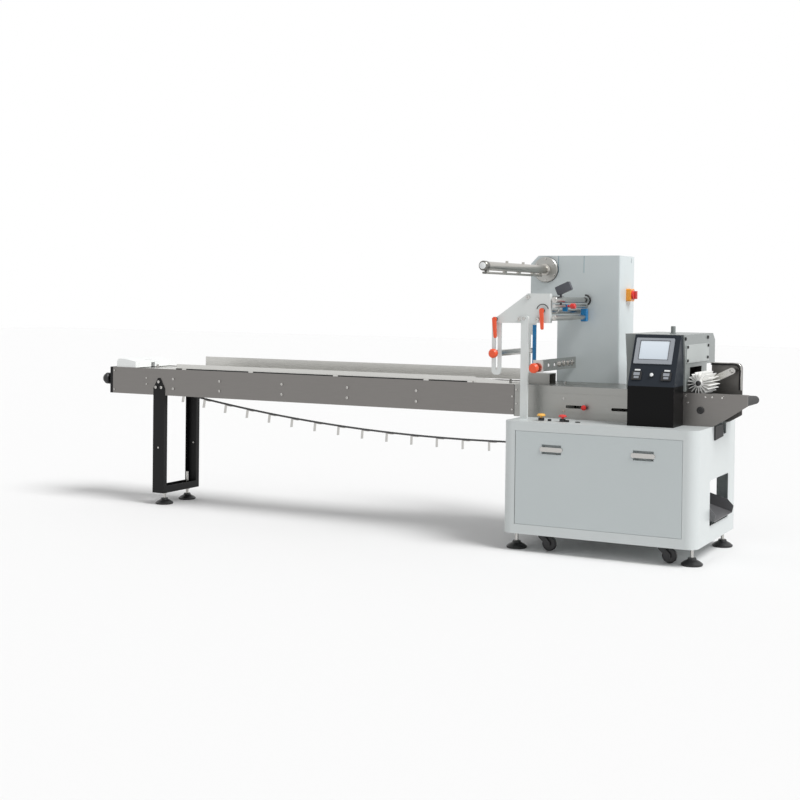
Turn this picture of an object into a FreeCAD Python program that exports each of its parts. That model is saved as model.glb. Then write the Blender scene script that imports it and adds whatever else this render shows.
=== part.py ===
"""Horizontal flow wrapper: a lug infeed conveyor, a cabinet with bed, film tower, forming station,
operator console, end-seal housing and a discharge with a brush roller.  All sizes are in millimetres.

Machine frame used below: X runs along the product line from the infeed to the discharge, with X = 0 at
the middle of the cabinet; Y runs from the front (Y = 0 is the cabinet front) to the back; Z is up, with
Z = 0 on the floor.  Every node is moved at the end so that the origin is the bottom centre of the whole.
"""
import FreeCAD
import Part
import math
import os

V = FreeCAD.Vector
X_AXIS = V(1, 0, 0)
Y_AXIS = V(0, 1, 0)
Z_AXIS = V(0, 0, 1)

# ---------------------------------------------------------------- driving dimensions
# cabinet
CAB_LENGTH = 966.0
CAB_DEPTH = 736.0
CAB_BASE = 86.0
CAB_TOP = 631.0
CAB_CORNER = 50.0
SHEET = 3.0
PANEL_LENGTH = 828.0
PANEL_LOW = 135.0
PANEL_HIGH = 584.0
PANEL_SEAM = 2.0
PANEL_LIP = 14.0
HANDLE_X = 228.0
HANDLE_Z = 503.0
HANDLE_LENGTH = 100.0
HANDLE_HEIGHT = 46.0
HANDLE_CUP = 22.0
WINDOW_FRONT = 230.0
WINDOW_BACK = 570.0
WINDOW_LOW = 165.0
WINDOW_HIGH = 380.0
WINDOW_CORNER = 12.0
NOTCH_FRONT = 300.0
NOTCH_BACK = 514.0
NOTCH_LOW = 580.0
COVER_FRONT = 290.0
COVER_BACK = 440.0
COVER_THICK = 6.0
FOOT_INSET_X = 43.0
FOOT_INSET_Y = 93.0
FOOT_RADIUS = 51.0
FOOT_STEM_RADIUS = 8.0
CASTER_X = 300.0
CASTER_INSET_Y = 80.0
CASTER_TRAIL = 38.0
CASTER_WHEEL_RADIUS = 35.0
CASTER_WHEEL_WIDTH = 22.0
CASTER_LIFT = 3.0
CASTER_PLATE = 4.0
CASTER_STEM_RADIUS = 6.0
CASTER_AXLE_RADIUS = 4.0
# scrap chute
CHUTE_END_X = 512.0
CHUTE_END_Z = 183.0
CHUTE_SLOPE = 0.292
CHUTE_RUN = 600.0
CHUTE_WALL = 58.0
# infeed conveyor
LINE_FRONT = 249.0
LINE_BACK = 579.0
SIDE_THICK = 8.0
TAIL_X = -3108.0
BED_X = -530.0
CONV_LOW = 638.6
BED_TOP = 792.0
TROUGH_THICK = 4.0
TROUGH_DROP = 4.0
LUG_SLOT = 26.0
TAIL_PLATE = 20.0
NOSE_LEFT = -3083.0
NOSE_RIGHT = -2944.0
NOSE_HIGH = 49.0
NOSE_RIGHT_HIGH = 36.0
KNOB_Y = 275.0
KNOB_Z = 721.0
KNOB_RADIUS = 33.0
KNOB_LENGTH = 40.0
KNOB_STANDOFF = 17.0
RAIL_THICK = 3.0
RAIL_FRONT_Y = 259.0
RAIL_BACK_Y = 537.0
RAIL_LEFT = -2650.0
RAIL_RIGHT = -560.0
RAIL_FRONT_RIGHT = -749.0
RAIL_GAP = 6.0
RAIL_FRONT_HIGH = 30.0
RAIL_BACK_HIGH = 65.0
CLIP_FIRST_X = -2131.0
CLIP_PITCH = 550.0
CLIP_COUNT = 3
CLIP_WIDTH = 30.0
FLARE_RIGHT = -560.0
FLARE_RISE = 24.0
# leg of the conveyor
LEG_X = -2766.0
LEG_WIDTH = 80.0
LEG_SHEET = 4.0
LEG_FLANGE = 26.0
LEG_LOW = 70.0
LEG_BAR = 40.0
LEG_SHOULDER = 678.0
LEG_PEAK = 738.0
LEG_FOOT_Y = 108.0
LEG_STEM_TOP = 165.0
# pusher chain
CHAIN_PITCH = 12.7
LUG_EVERY = 12
TAIL_TEETH = 15
HEAD_TEETH = 18
STRAND_Z = 754.0
TAIL_SPROCKET_X = -2990.0
HEAD_SPROCKET_X = -300.0
SAG_X = -850.0
SAG_Z = 477.0
SAG_RADIUS = 10400.0
CHAIN_HEIGHT = 10.0
CHAIN_WIDTH = 14.0
LUG_BASE = 45.0
LUG_BASE_THICK = 3.0
LUG_REACH = 52.0
LUG_THICK = 5.0
LUG_WIDTH = 18.0
SHAFT_RADIUS = 10.0
HANGER_THICK = 6.0
HANGER_HALF = 45.0
# bed
BED_BACK = 630.0
BED_RIGHT = 342.0
SLOT_A_LEFT = -253.0
SLOT_A_RIGHT = -142.0
SLOT_A_Z = 692.0
SLOT_A_HIGH = 15.0
SLOT_B_LEFT = -16.0
SLOT_B_RIGHT = 330.0
SLOT_B_Z = 689.0
SLOT_B_HIGH = 15.0
BALL_X = -148.0
BALL_Y = 235.0
BALL_Z = 685.0
# forming station
POST_LEFT = -456.0
POST_RIGHT = -417.0
POST_FRONT = 147.0
POST_THICK = 12.0
POST_TOP = 1140.0
PLATE_THICK = 5.0
PLATE_RETURN = 26.0
ARM_LEFT = -620.0
ARM_RIGHT = -569.0
ARM_LOW = 842.0
ARM_THICK = 8.0
SLOT_LOW = 866.0
SLOT_HIGH = 1034.0
SLOT_WIDTH = 12.4
REAR_ARM_TOP = 1150.0
FRONT_ARM_TOP = 1112.0
LOWER_IDLER_Z = 950.0
IDLER_RADIUS = 16.5
IDLER_PIN = 6.0
HAND_KNOB_RADIUS = 23.0
# upper rollers
ROLLER_X = -290.0
ROLLER_A_Z = 1220.0
BAR_B_Z = 1189.0
ROLLER_C_X = -335.0
ROLLER_C_Z = 1160.0
ROLLER_D_Z = 1132.0
ROLLER_RADIUS = 15.5
ROLLER_D_RADIUS = 12.0
BAR_B_RADIUS = 9.0
ROLLER_PIN = 6.0
ROLLER_FIT = 0.1
ROLLER_FRONT = 170.0
# tower
TOWER_LEFT = -606.0
TOWER_LEG_LEFT = -452.0
TOWER_RIGHT = -110.0
TOWER_DEPTH = 235.0
TOWER_TOP = 1453.0
TOWER_STEP = 1110.0
TOWER_CHAMFER = 42.0
TOWER_EDGE = 8.0
GROOVE_LENGTH = 91.0
GROOVE_WIDTH = 3.0
VENT_DROP = 11.0
VENT_LENGTH = 24.0
SPINDLE_X = -518.0
SPINDLE_Z = 1379.0
SPINDLE_RADIUS = 21.5
SPINDLE_TIP = -180.0
FLANGE_RADIUS = 67.5
FLANGE_THICK = 16.0
SWITCH_Y = 763.0
SWITCH_Z = 1250.0
SWITCH_SIDE = 66.0
# console
CON_LEFT = 118.0
CON_RIGHT = 342.0
CON_FRONT = 88.0
CON_KNEE = 820.0
CON_TOP = 1060.0
CON_TOP_FRONT = 200.0
# end-seal housing
SEAL_LEFT = 60.0
SEAL_RIGHT = 350.0
SEAL_FRONT = 203.0
SEAL_BACK = 785.0
SEAL_LOW = 912.0
SEAL_TOP = 1062.0
TUNNEL_FRONT = 329.0
TUNNEL_BACK = 535.0
SEAL_COVER_THICK = 4.0
# discharge
OUT_RIGHT = 649.0
OUT_TOP = 787.0
GUARD_LEFT = 391.0
GUARD_RIGHT = 545.0
GUARD_TOP = 922.0
GUARD_DEPTH = 29.0
BELT_Z = 766.0
BELT_THICK = 2.0
BELT_ROLLER = 18.0
BELT_LEFT = 378.0
BELT_RIGHT = 615.0
DRIVE_X = 427.0
DRIVE_Z = 707.0
BRUSH_X = 410.0
BRUSH_Z = 833.0
BRUSH_RADIUS = 54.0
BRUSH_FRONT = 265.0
BRUSH_LENGTH = 200.0
BRUSH_BLADES = 18
BRUSH_HUB = 16.0
BRUSH_PIN = 6.0
ARM_PIVOT_X = 516.0
ARM_PIVOT_Z = 886.0

# ---------------------------------------------------------------- derived dimensions
HALF = CAB_LENGTH / 2
LINE_Y = (LINE_FRONT + LINE_BACK) / 2
INNER_FRONT = LINE_FRONT + SIDE_THICK
INNER_BACK = LINE_BACK - SIDE_THICK
TAIL_END_X = TAIL_X - TAIL_PLATE
KNOB_TIP_X = TAIL_END_X - KNOB_STANDOFF - KNOB_LENGTH
TOWER_FRONT = BED_BACK
TOWER_BACK = TOWER_FRONT + TOWER_DEPTH
CENTRE_X = (KNOB_TIP_X + OUT_RIGHT) / 2
CENTRE_Y = (SPINDLE_TIP + TOWER_BACK) / 2

nodes = {}


# ---------------------------------------------------------------- helpers
def block(x0, x1, y0, y1, z0, z1):
    return Part.makeBox(x1 - x0, y1 - y0, z1 - z0, V(x0, y0, z0))


def rod(x, y, z, radius, length, axis):
    return Part.makeCylinder(radius, length, V(x, y, z), axis)


def slab(points, direction):
    """A flat outline (list of vectors, closed automatically) pushed along a vector."""
    wire = Part.makePolygon(points + [points[0]])
    return Part.Face(wire).extrude(direction)


def slab_xz(points, y0, y1):
    return slab([V(x, y0, z) for x, z in points], V(0, y1 - y0, 0))


def slab_yz(points, x0, x1):
    return slab([V(x0, y, z) for y, z in points], V(x1 - x0, 0, 0))


def turned(profile, origin, axis):
    """A profile of (radius, distance) corners spun about an axis through the origin point."""
    corners = [V(r, 0, h) for r, h in profile]
    wire = Part.makePolygon(corners + [corners[0]])
    solid = Part.Face(wire).revolve(V(0, 0, 0), Z_AXIS, 360)
    solid.Placement = FreeCAD.Placement(origin, FreeCAD.Rotation(Z_AXIS, axis))
    return solid


def edges_along(shape, axis, test=None):
    """Straight edges of a shape that run along an axis and pass an optional test of their middle."""
    found = []
    for edge in shape.Edges:
        if not isinstance(edge.Curve, Part.Line):
            continue
        run = edge.Vertexes[1].Point - edge.Vertexes[0].Point
        run.normalize()
        if abs(run.dot(axis)) > 0.999 and (test is None or test(edge.CenterOfMass)):
            found.append(edge)
    return found


def rounded(shape, axis, radius, test=None):
    return shape.makeFillet(radius, edges_along(shape, axis, test))


def slot_xz(x0, x1, z0, z1, y0, y1):
    """A round-ended slot cutter along Y; its ends are rounded across its narrow way."""
    radius = min(x1 - x0, z1 - z0) / 2
    return rounded(block(x0, x1, y0, y1, z0, z1), Y_AXIS, radius * 0.999)


def group(solids):
    return Part.makeCompound(solids)


def hexagon(x, y, z, radius, height):
    """A hexagon nut on end, its low face at z."""
    corners = [V(x + radius * math.cos(math.radians(60 * i)), y + radius * math.sin(math.radians(60 * i)), z)
               for i in range(6)]
    return slab(corners, V(0, 0, height))


def levelling_foot(x, y, top, nut_low):
    """A black pad with a domed top, a neck, a nut and a threaded stem up to a given height."""
    pad = turned([(0, 0), (FOOT_RADIUS - 3, 0), (FOOT_RADIUS, 4), (FOOT_RADIUS, 9), (38, 19), (22, 27), (19, 36),
                  (0, 36)], V(x, y, 0), Z_AXIS)
    stem = rod(x, y, 36, FOOT_STEM_RADIUS, top - 36, Z_AXIS)
    nut = hexagon(x, y, nut_low, 15, 10)
    return pad.fuse([stem, nut])


# ---------------------------------------------------------------- cabinet
def cabinet_tube(inset, low, high):
    """A block with the cabinet's rounded vertical corners, set in by an amount."""
    plain = block(-HALF + inset, HALF - inset, inset, CAB_DEPTH - inset, low, high)
    return rounded(plain, Z_AXIS, CAB_CORNER - inset)


wall_top = CAB_TOP - SHEET
shell = cabinet_tube(0, CAB_BASE, wall_top).cut(cabinet_tube(SHEET, CAB_BASE, wall_top))
middle = HALF - CAB_CORNER
far = 2000.0
chain_gate = block(-far, 0, LINE_Y - 45, LINE_Y + 45, SAG_Z - 65, SAG_Z + 45)
window = rounded(block(0, far, WINDOW_FRONT, WINDOW_BACK, WINDOW_LOW, WINDOW_HIGH), X_AXIS, WINDOW_CORNER)
notch = block(middle + 12, far, NOTCH_FRONT, NOTCH_BACK, NOTCH_LOW, CAB_TOP + 1)
left_wall = shell.common(block(-far, -middle, -1, far, 0, far)).cut(chain_gate)
right_wall = shell.common(block(middle, far, -1, far, 0, far)).cut(window).cut(notch)
nodes["cabinet_right_wall"] = right_wall

panel_half = PANEL_LENGTH / 2
front_wall = shell.common(block(-middle, middle, -1, CAB_DEPTH / 2, 0, far))
front_gap = block(-panel_half - PANEL_SEAM, panel_half + PANEL_SEAM, -1, SHEET + 1,
                  PANEL_LOW - PANEL_SEAM, PANEL_HIGH + PANEL_SEAM)
lip_outer = block(-middle, middle, SHEET, 2 * SHEET, PANEL_LOW - PANEL_LIP, PANEL_HIGH + PANEL_LIP)
lip_inner = block(-panel_half + PANEL_LIP, panel_half - PANEL_LIP, SHEET, 2 * SHEET,
                  PANEL_LOW + PANEL_LIP, PANEL_HIGH - PANEL_LIP)
nodes["cabinet_front_frame"] = front_wall.cut(front_gap).fuse(lip_outer.cut(lip_inner)).removeSplitter()

back_wall = shell.common(block(-middle, middle, CAB_DEPTH / 2, far, 0, far))
back_gap = block(-middle + 50, middle - 50, CAB_DEPTH / 2, far, CAB_BASE + 60, wall_top - 60)
back_frame = back_wall.cut(back_gap)

panel = block(-panel_half, panel_half, 0, SHEET, PANEL_LOW, PANEL_HIGH)
grips = []
for side in (-1, 1):
    cx = side * HANDLE_X
    hole = block(cx - HANDLE_LENGTH / 2, cx + HANDLE_LENGTH / 2, -1, SHEET + HANDLE_CUP,
                 HANDLE_Z - HANDLE_HEIGHT / 2, HANDLE_Z + HANDLE_HEIGHT / 2)
    cup = block(cx - HANDLE_LENGTH / 2 - 2, cx + HANDLE_LENGTH / 2 + 2, SHEET, SHEET + HANDLE_CUP + 2,
                HANDLE_Z - HANDLE_HEIGHT / 2 - 2, HANDLE_Z + HANDLE_HEIGHT / 2 + 2)
    panel = panel.fuse(cup).cut(hole)
    grip = block(cx - HANDLE_LENGTH / 2 - 8, cx + HANDLE_LENGTH / 2 + 8, -6, 0, HANDLE_Z - 11, HANDLE_Z + 11)
    grips.append(rounded(grip, Y_AXIS, 10.5))
nodes["cabinet_front_panel"] = panel.removeSplitter()
nodes["panel_handles"] = group(grips)

deck = cabinet_tube(0, wall_top, CAB_TOP).cut(notch)
head_r = CHAIN_PITCH / 2 / math.sin(math.pi / HEAD_TEETH)
tail_r = CHAIN_PITCH / 2 / math.sin(math.pi / TAIL_TEETH)
down_x = HEAD_SPROCKET_X + head_r
deck_slot = block(down_x - CHAIN_HEIGHT, down_x + LUG_REACH + 6, LINE_Y - LUG_SLOT, LINE_Y + LUG_SLOT,
                  wall_top - 1, CAB_TOP + 1)
deck = deck.cut(deck_slot)
floor = cabinet_tube(SHEET, CAB_BASE, CAB_BASE + SHEET)
cover_outline = [(COVER_FRONT, NOTCH_LOW - 16), (COVER_BACK, NOTCH_LOW - 8), (COVER_BACK, CAB_TOP), (COVER_FRONT, CAB_TOP)]
nodes["drive_cover"] = slab_yz(cover_outline, HALF, HALF + COVER_THICK)

# scrap chute: a sloped channel that leaves through the window
chute_start = CHUTE_END_X - CHUTE_RUN


def chute_z(x, rise=0.0):
    return CHUTE_END_Z + (CHUTE_END_X - x) * CHUTE_SLOPE + rise


chute_side = [(chute_start, chute_z(chute_start)), (CHUTE_END_X - 7, chute_z(CHUTE_END_X - 7)),
              (CHUTE_END_X, chute_z(CHUTE_END_X, 36)), (CHUTE_END_X - 30, chute_z(CHUTE_END_X - 30, CHUTE_WALL)),
              (chute_start, chute_z(chute_start, CHUTE_WALL))]
chute_body = slab_xz(chute_side, WINDOW_FRONT, WINDOW_BACK)
chute_hollow = [(chute_start - 1, chute_z(chute_start - 1, SHEET)), (CHUTE_END_X + 1, chute_z(CHUTE_END_X + 1, SHEET)),
                (CHUTE_END_X + 1, chute_z(CHUTE_END_X, 2 * CHUTE_WALL)), (chute_start - 1, chute_z(chute_start, 2 * CHUTE_WALL))]
nodes["scrap_chute"] = chute_body.cut(slab_xz(chute_hollow, WINDOW_FRONT + SHEET, WINDOW_BACK - SHEET))

foot_x = HALF - FOOT_INSET_X
foot_ys = (FOOT_INSET_Y, CAB_DEPTH - FOOT_INSET_Y)
feet = [levelling_foot(sx * foot_x, y, CAB_BASE, CAB_BASE - 12) for sx in (-1, 1) for y in foot_ys]

# casters: a fixed plate, a swivelling fork and a wheel on its axle
plate_low = CAB_BASE - CASTER_PLATE
axle_z = CASTER_WHEEL_RADIUS + CASTER_LIFT
cheek_in = CASTER_WHEEL_WIDTH / 2 + 5
caster_plates = []
for side, cx in (("left", -CASTER_X), ("right", CASTER_X)):
    cy = CASTER_INSET_Y
    plate = block(cx - 30, cx + 30, cy - 30, cy + 30, plate_low, CAB_BASE)
    caster_plates.append(plate.cut(rod(cx, cy, plate_low - 1, CASTER_STEM_RADIUS + 0.05, CASTER_PLATE - 1, Z_AXIS)))
    crown = block(cx - 14, cx + 14, cy - cheek_in - 3, cy + cheek_in + 3, plate_low - 9, plate_low - 5)
    stem = rod(cx, cy, plate_low - 5, CASTER_STEM_RADIUS, 6, Z_AXIS)
    cheek_line = [(cx - 14, plate_low - 5), (cx - 14, plate_low - 14), (cx + CASTER_TRAIL - 9, axle_z - 9),
                  (cx + CASTER_TRAIL + 9, axle_z - 9), (cx + CASTER_TRAIL + 9, axle_z + 9), (cx + 14, plate_low - 5)]
    fork = crown.fuse([stem, slab_xz(cheek_line, cy - cheek_in - 3, cy - cheek_in),
                       slab_xz(cheek_line, cy + cheek_in, cy + cheek_in + 3),
                       rod(cx + CASTER_TRAIL, cy - cheek_in - 3, axle_z, CASTER_AXLE_RADIUS, 2 * cheek_in + 6, Y_AXIS)])
    nodes["caster_fork_" + side] = fork.removeSplitter()
    half_w = CASTER_WHEEL_WIDTH / 2
    bore = CASTER_AXLE_RADIUS + 0.05
    wheel = turned([(bore, -half_w), (9, -half_w), (9, -half_w + 2), (CASTER_WHEEL_RADIUS - 4, -half_w + 2),
                    (CASTER_WHEEL_RADIUS - 3, -half_w), (CASTER_WHEEL_RADIUS, -half_w + 4),
                    (CASTER_WHEEL_RADIUS, half_w - 4), (CASTER_WHEEL_RADIUS - 3, half_w),
                    (CASTER_WHEEL_RADIUS - 4, half_w - 2), (9, half_w - 2), (9, half_w), (bore, half_w)],
                   V(cx + CASTER_TRAIL, cy, axle_z), Y_AXIS)
    nodes["caster_wheel_" + side] = wheel
nodes["cabinet_body"] = left_wall.fuse([back_frame, floor] + caster_plates).removeSplitter()

# ---------------------------------------------------------------- infeed conveyor
nodes["conveyor_side_plates"] = group([block(TAIL_X, BED_X, LINE_FRONT, INNER_FRONT, CONV_LOW, BED_TOP),
                                       block(TAIL_X, BED_X, INNER_BACK, LINE_BACK, CONV_LOW, BED_TOP)])
trough_top = BED_TOP - TROUGH_DROP
trough = block(TAIL_X, BED_X, INNER_FRONT, INNER_BACK, trough_top - TROUGH_THICK, trough_top)
lug_slot = block(TAIL_X + 20, BED_X + 1, LINE_Y - LUG_SLOT / 2, LINE_Y + LUG_SLOT / 2, 0, far)
nodes["conveyor_trough"] = trough.cut(lug_slot)
nodes["tail_end_plate"] = block(TAIL_END_X, TAIL_X, LINE_FRONT, LINE_BACK, CONV_LOW, BED_TOP)

nose_line = [(NOSE_LEFT, BED_TOP), (NOSE_LEFT, BED_TOP + NOSE_HIGH - 14), (NOSE_LEFT + 14, BED_TOP + NOSE_HIGH),
             (NOSE_LEFT + 55, BED_TOP + NOSE_HIGH), (NOSE_RIGHT, BED_TOP + NOSE_RIGHT_HIGH), (NOSE_RIGHT, BED_TOP)]
nose = slab_xz(nose_line, LINE_FRONT + 4, LINE_BACK - 4)
nose_gap = block(TAIL_SPROCKET_X - 100, NOSE_RIGHT + 1, LINE_Y - LUG_SLOT / 2 - 4, LINE_Y + LUG_SLOT / 2 + 4,
                 BED_TOP - 1, BED_TOP + LUG_REACH / 2)
nodes["tail_nose"] = nose.cut(nose_gap)
nodes["tension_knob"] = turned([(0, 0.3), (9, 0.3), (9, KNOB_STANDOFF), (KNOB_RADIUS - 6, KNOB_STANDOFF),
                                (KNOB_RADIUS, KNOB_STANDOFF + 6), (KNOB_RADIUS, KNOB_STANDOFF + 26),
                                (KNOB_RADIUS - 9, KNOB_STANDOFF + KNOB_LENGTH), (0, KNOB_STANDOFF + KNOB_LENGTH)],
                               V(TAIL_END_X, KNOB_Y, KNOB_Z), V(-1, 0, 0))

rail_low = BED_TOP + RAIL_GAP
clip_xs = [CLIP_FIRST_X + i * CLIP_PITCH for i in range(CLIP_COUNT)] + [RAIL_LEFT + 60]
front_rail = [block(RAIL_LEFT, RAIL_FRONT_RIGHT, RAIL_FRONT_Y, RAIL_FRONT_Y + RAIL_THICK, rail_low, BED_TOP + RAIL_FRONT_HIGH)]
back_rail = [block(RAIL_LEFT, RAIL_RIGHT, RAIL_BACK_Y, RAIL_BACK_Y + RAIL_THICK, rail_low, BED_TOP + RAIL_BACK_HIGH)]
for x in clip_xs + [RAIL_FRONT_RIGHT - CLIP_WIDTH]:
    front_rail.append(block(x - CLIP_WIDTH / 2, x + CLIP_WIDTH / 2, LINE_FRONT, RAIL_FRONT_Y + RAIL_THICK, BED_TOP, rail_low))
for x in clip_xs + [RAIL_RIGHT - CLIP_WIDTH]:
    back_rail.append(block(x - CLIP_WIDTH / 2, x + CLIP_WIDTH / 2, RAIL_BACK_Y, LINE_BACK, BED_TOP, rail_low))
rails = [front_rail[0].fuse(front_rail[1:]).removeSplitter(), back_rail[0].fuse(back_rail[1:]).removeSplitter()]
flare_line = [(RAIL_FRONT_RIGHT + 4, BED_TOP), (FLARE_RIGHT, BED_TOP), (FLARE_RIGHT, BED_TOP + FLARE_RISE / 2),
              (RAIL_FRONT_RIGHT + 60, BED_TOP + FLARE_RISE), (RAIL_FRONT_RIGHT + 4, BED_TOP + FLARE_RISE)]
rails.append(slab_xz(flare_line, LINE_FRONT + 2, LINE_FRONT + 2 + RAIL_THICK))
nodes["guide_rails"] = group(rails)

# ---------------------------------------------------------------- leg of the conveyor
leg_l = LEG_X - LEG_WIDTH / 2
leg_r = LEG_X + LEG_WIDTH / 2
leg_front = LINE_FRONT - LEG_SHEET
leg_back = LINE_BACK + LEG_SHEET
leg_face = [(leg_l, LEG_LOW), (leg_r, LEG_LOW), (leg_r, LEG_SHOULDER), (LEG_X + 8, LEG_PEAK), (LEG_X - 8, LEG_PEAK),
            (leg_l, LEG_SHOULDER)]
flange_top = CONV_LOW
leg_pieces = [slab_xz(leg_face, leg_front, LINE_FRONT), slab_xz(leg_face, LINE_BACK, leg_back)]
for x in (leg_l, leg_r - LEG_SHEET):
    leg_pieces.append(block(x, x + LEG_SHEET, leg_front, LINE_FRONT + LEG_FLANGE, LEG_LOW, flange_top))
    leg_pieces.append(block(x, x + LEG_SHEET, LINE_BACK - LEG_FLANGE, leg_back, LEG_LOW, flange_top))
    leg_pieces.append(block(x, x + LEG_SHEET, leg_front, leg_back, LEG_LOW, LEG_LOW + LEG_BAR))
leg_pieces.append(block(leg_l, leg_r, leg_front, leg_back, LEG_LOW, LEG_LOW + LEG_SHEET))
leg = leg_pieces[0].fuse(leg_pieces[1:]).removeSplitter()
foot_rows = (LINE_Y - LEG_FOOT_Y, LINE_Y + LEG_FOOT_Y)
for y in foot_rows:
    leg = leg.cut(rod(LEG_X, y, LEG_LOW - 1, FOOT_STEM_RADIUS + 0.5, LEG_SHEET + 2, Z_AXIS))
nodes["leg_frame"] = leg
feet += [levelling_foot(LEG_X, y, LEG_STEM_TOP, LEG_LOW - 10) for y in foot_rows]
nodes["levelling_feet"] = group(feet)

# ---------------------------------------------------------------- pusher chain
# One closed loop: a level upper strand, a quarter turn over the head sprocket, a drop to the drive
# sprocket, a hanging lower strand (a catenary) and a turn round the tail sprocket.
head_z = STRAND_Z - head_r
tail_z = STRAND_Z - tail_r


def sag(x):
    return SAG_Z + SAG_RADIUS * (math.cosh((x - SAG_X) / SAG_RADIUS) - 1)


def sag_angle(x):
    return math.atan(math.sinh((x - SAG_X) / SAG_RADIUS))


right_angle = sag_angle(HEAD_SPROCKET_X)
for _ in range(20):
    right_angle = sag_angle(HEAD_SPROCKET_X + head_r * math.sin(right_angle))
sag_right = HEAD_SPROCKET_X + head_r * math.sin(right_angle)
drive_z = sag(sag_right) + head_r * math.cos(right_angle)
# the hanging strand is stretched a little near its far end so that it meets the tail sprocket
sag_left = TAIL_SPROCKET_X
for _ in range(20):
    left_angle = sag_angle(sag_left)
    sag_left = TAIL_SPROCKET_X + tail_r * math.sin(left_angle)
tail_gap = (tail_z - tail_r * math.cos(left_angle)) - sag(sag_left)


def strand_point(x):
    """A point of the hanging strand's centre line, and its unit normal pointing away from the loop."""
    share = max(0.0, (SAG_X - x) / (SAG_X - sag_left))
    z = sag(x) + tail_gap * share ** 3
    slope = math.sinh((x - SAG_X) / SAG_RADIUS) - 3 * tail_gap * share ** 2 / (SAG_X - sag_left)
    size = math.hypot(1.0, slope)
    return (x, z), (slope / size, -1.0 / size)


STRAND_STEPS = 28
strand_xs = [sag_right + (sag_left - sag_right) * i / STRAND_STEPS for i in range(STRAND_STEPS + 1)]


def loop_wire(offset):
    """The loop's closed outline at an offset from the centre line (positive is outward)."""
    def at(x, z):
        return V(x, LINE_Y - CHAIN_WIDTH / 2, z)
    points = []
    for x in strand_xs:
        (px, pz), (nx, nz) = strand_point(x)
        points.append(at(px + nx * offset, pz + nz * offset))
    top_l = at(TAIL_SPROCKET_X, STRAND_Z + offset)
    top_r = at(HEAD_SPROCKET_X, STRAND_Z + offset)
    ring = head_r + offset
    diag = math.sqrt(0.5)
    head_mid = at(HEAD_SPROCKET_X + ring * diag, head_z + ring * diag)
    head_end = at(HEAD_SPROCKET_X + ring, head_z)
    drive_top = at(HEAD_SPROCKET_X + ring, drive_z)
    drive_mid = at(HEAD_SPROCKET_X + ring * diag, drive_z - ring * diag)
    tail_mid = at(TAIL_SPROCKET_X - (tail_r + offset), tail_z)
    curve = Part.BSplineCurve()
    curve.interpolate(points)
    edges = [Part.LineSegment(top_l, top_r).toShape(), Part.Arc(top_r, head_mid, head_end).toShape(),
             Part.LineSegment(head_end, drive_top).toShape(), Part.Arc(drive_top, drive_mid, points[0]).toShape(),
             curve.toShape(), Part.Arc(points[-1], tail_mid, top_l).toShape()]
    return Part.Wire(edges)


half_h = CHAIN_HEIGHT / 2
chain_face = Part.Face(loop_wire(half_h)).cut(Part.Face(loop_wire(-half_h)))
nodes["pusher_chain"] = chain_face.extrude(V(0, CHAIN_WIDTH, 0))


def loop_samples():
    """Centre-line points of the loop in running order, each with its outward normal, finely spaced."""
    out = []
    steps = 400
    for i in range(steps):
        out.append(((TAIL_SPROCKET_X + (HEAD_SPROCKET_X - TAIL_SPROCKET_X) * i / steps, STRAND_Z), (0.0, 1.0)))
    for i in range(60):
        a = math.radians(90 - 90 * i / 60)
        out.append(((HEAD_SPROCKET_X + head_r * math.cos(a), head_z + head_r * math.sin(a)), (math.cos(a), math.sin(a))))
    for i in range(40):
        out.append(((down_x, head_z + (drive_z - head_z) * i / 40), (1.0, 0.0)))
    for i in range(60):
        a = -(math.pi / 2 - right_angle) * i / 60
        out.append(((HEAD_SPROCKET_X + head_r * math.cos(a), drive_z + head_r * math.sin(a)), (math.cos(a), math.sin(a))))
    for i in range(steps):
        out.append(strand_point(sag_right + (sag_left - sag_right) * i / steps))
    low = math.atan2(strand_point(sag_left)[0][1] - tail_z, sag_left - TAIL_SPROCKET_X)
    for i in range(120):
        a = low + (-1.5 * math.pi - low) * i / 120
        out.append(((TAIL_SPROCKET_X + tail_r * math.cos(a), tail_z + tail_r * math.sin(a)), (math.cos(a), math.sin(a))))
    return out


samples = loop_samples()
lengths = [0.0]
for i in range(1, len(samples) + 1):
    (ax, az), _ = samples[i - 1]
    (bx, bz), _ = samples[i % len(samples)]
    lengths.append(lengths[-1] + math.hypot(bx - ax, bz - az))
loop_length = lengths[-1]
lug_count = round(loop_length / (CHAIN_PITCH * LUG_EVERY))
lug_pitch = loop_length / lug_count


def loop_at(distance):
    distance = distance % loop_length
    i = 0
    while lengths[i + 1] < distance:
        i += 1
    share = (distance - lengths[i]) / (lengths[i + 1] - lengths[i])
    (ax, az), (anx, anz) = samples[i]
    (bx, bz), (bnx, bnz) = samples[(i + 1) % len(samples)]
    nx = anx + (bnx - anx) * share
    nz = anz + (bnz - anz) * share
    size = math.hypot(nx, nz)
    return (ax + (bx - ax) * share, az + (bz - az) * share), (nx / size, nz / size)


def pusher_lug(distance):
    """A flat base on the chain with an upright finger at its leading end."""
    (x, z), (nx, nz) = loop_at(distance)
    base = block(-LUG_BASE / 2, LUG_BASE / 2, -LUG_WIDTH / 2, LUG_WIDTH / 2, half_h, half_h + LUG_BASE_THICK)
    finger = block(LUG_BASE / 2 - LUG_THICK, LUG_BASE / 2, -LUG_WIDTH / 2, LUG_WIDTH / 2, half_h, LUG_REACH)
    lug = base.fuse(finger).removeSplitter()
    turn = math.degrees(math.atan2(nx, nz))
    lug.Placement = FreeCAD.Placement(V(x, LINE_Y, z), FreeCAD.Rotation(Y_AXIS, turn))
    return lug


LUG_PHASE = 60.0
nodes["pusher_lugs"] = group([pusher_lug(LUG_PHASE + i * lug_pitch) for i in range(lug_count)])

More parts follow.
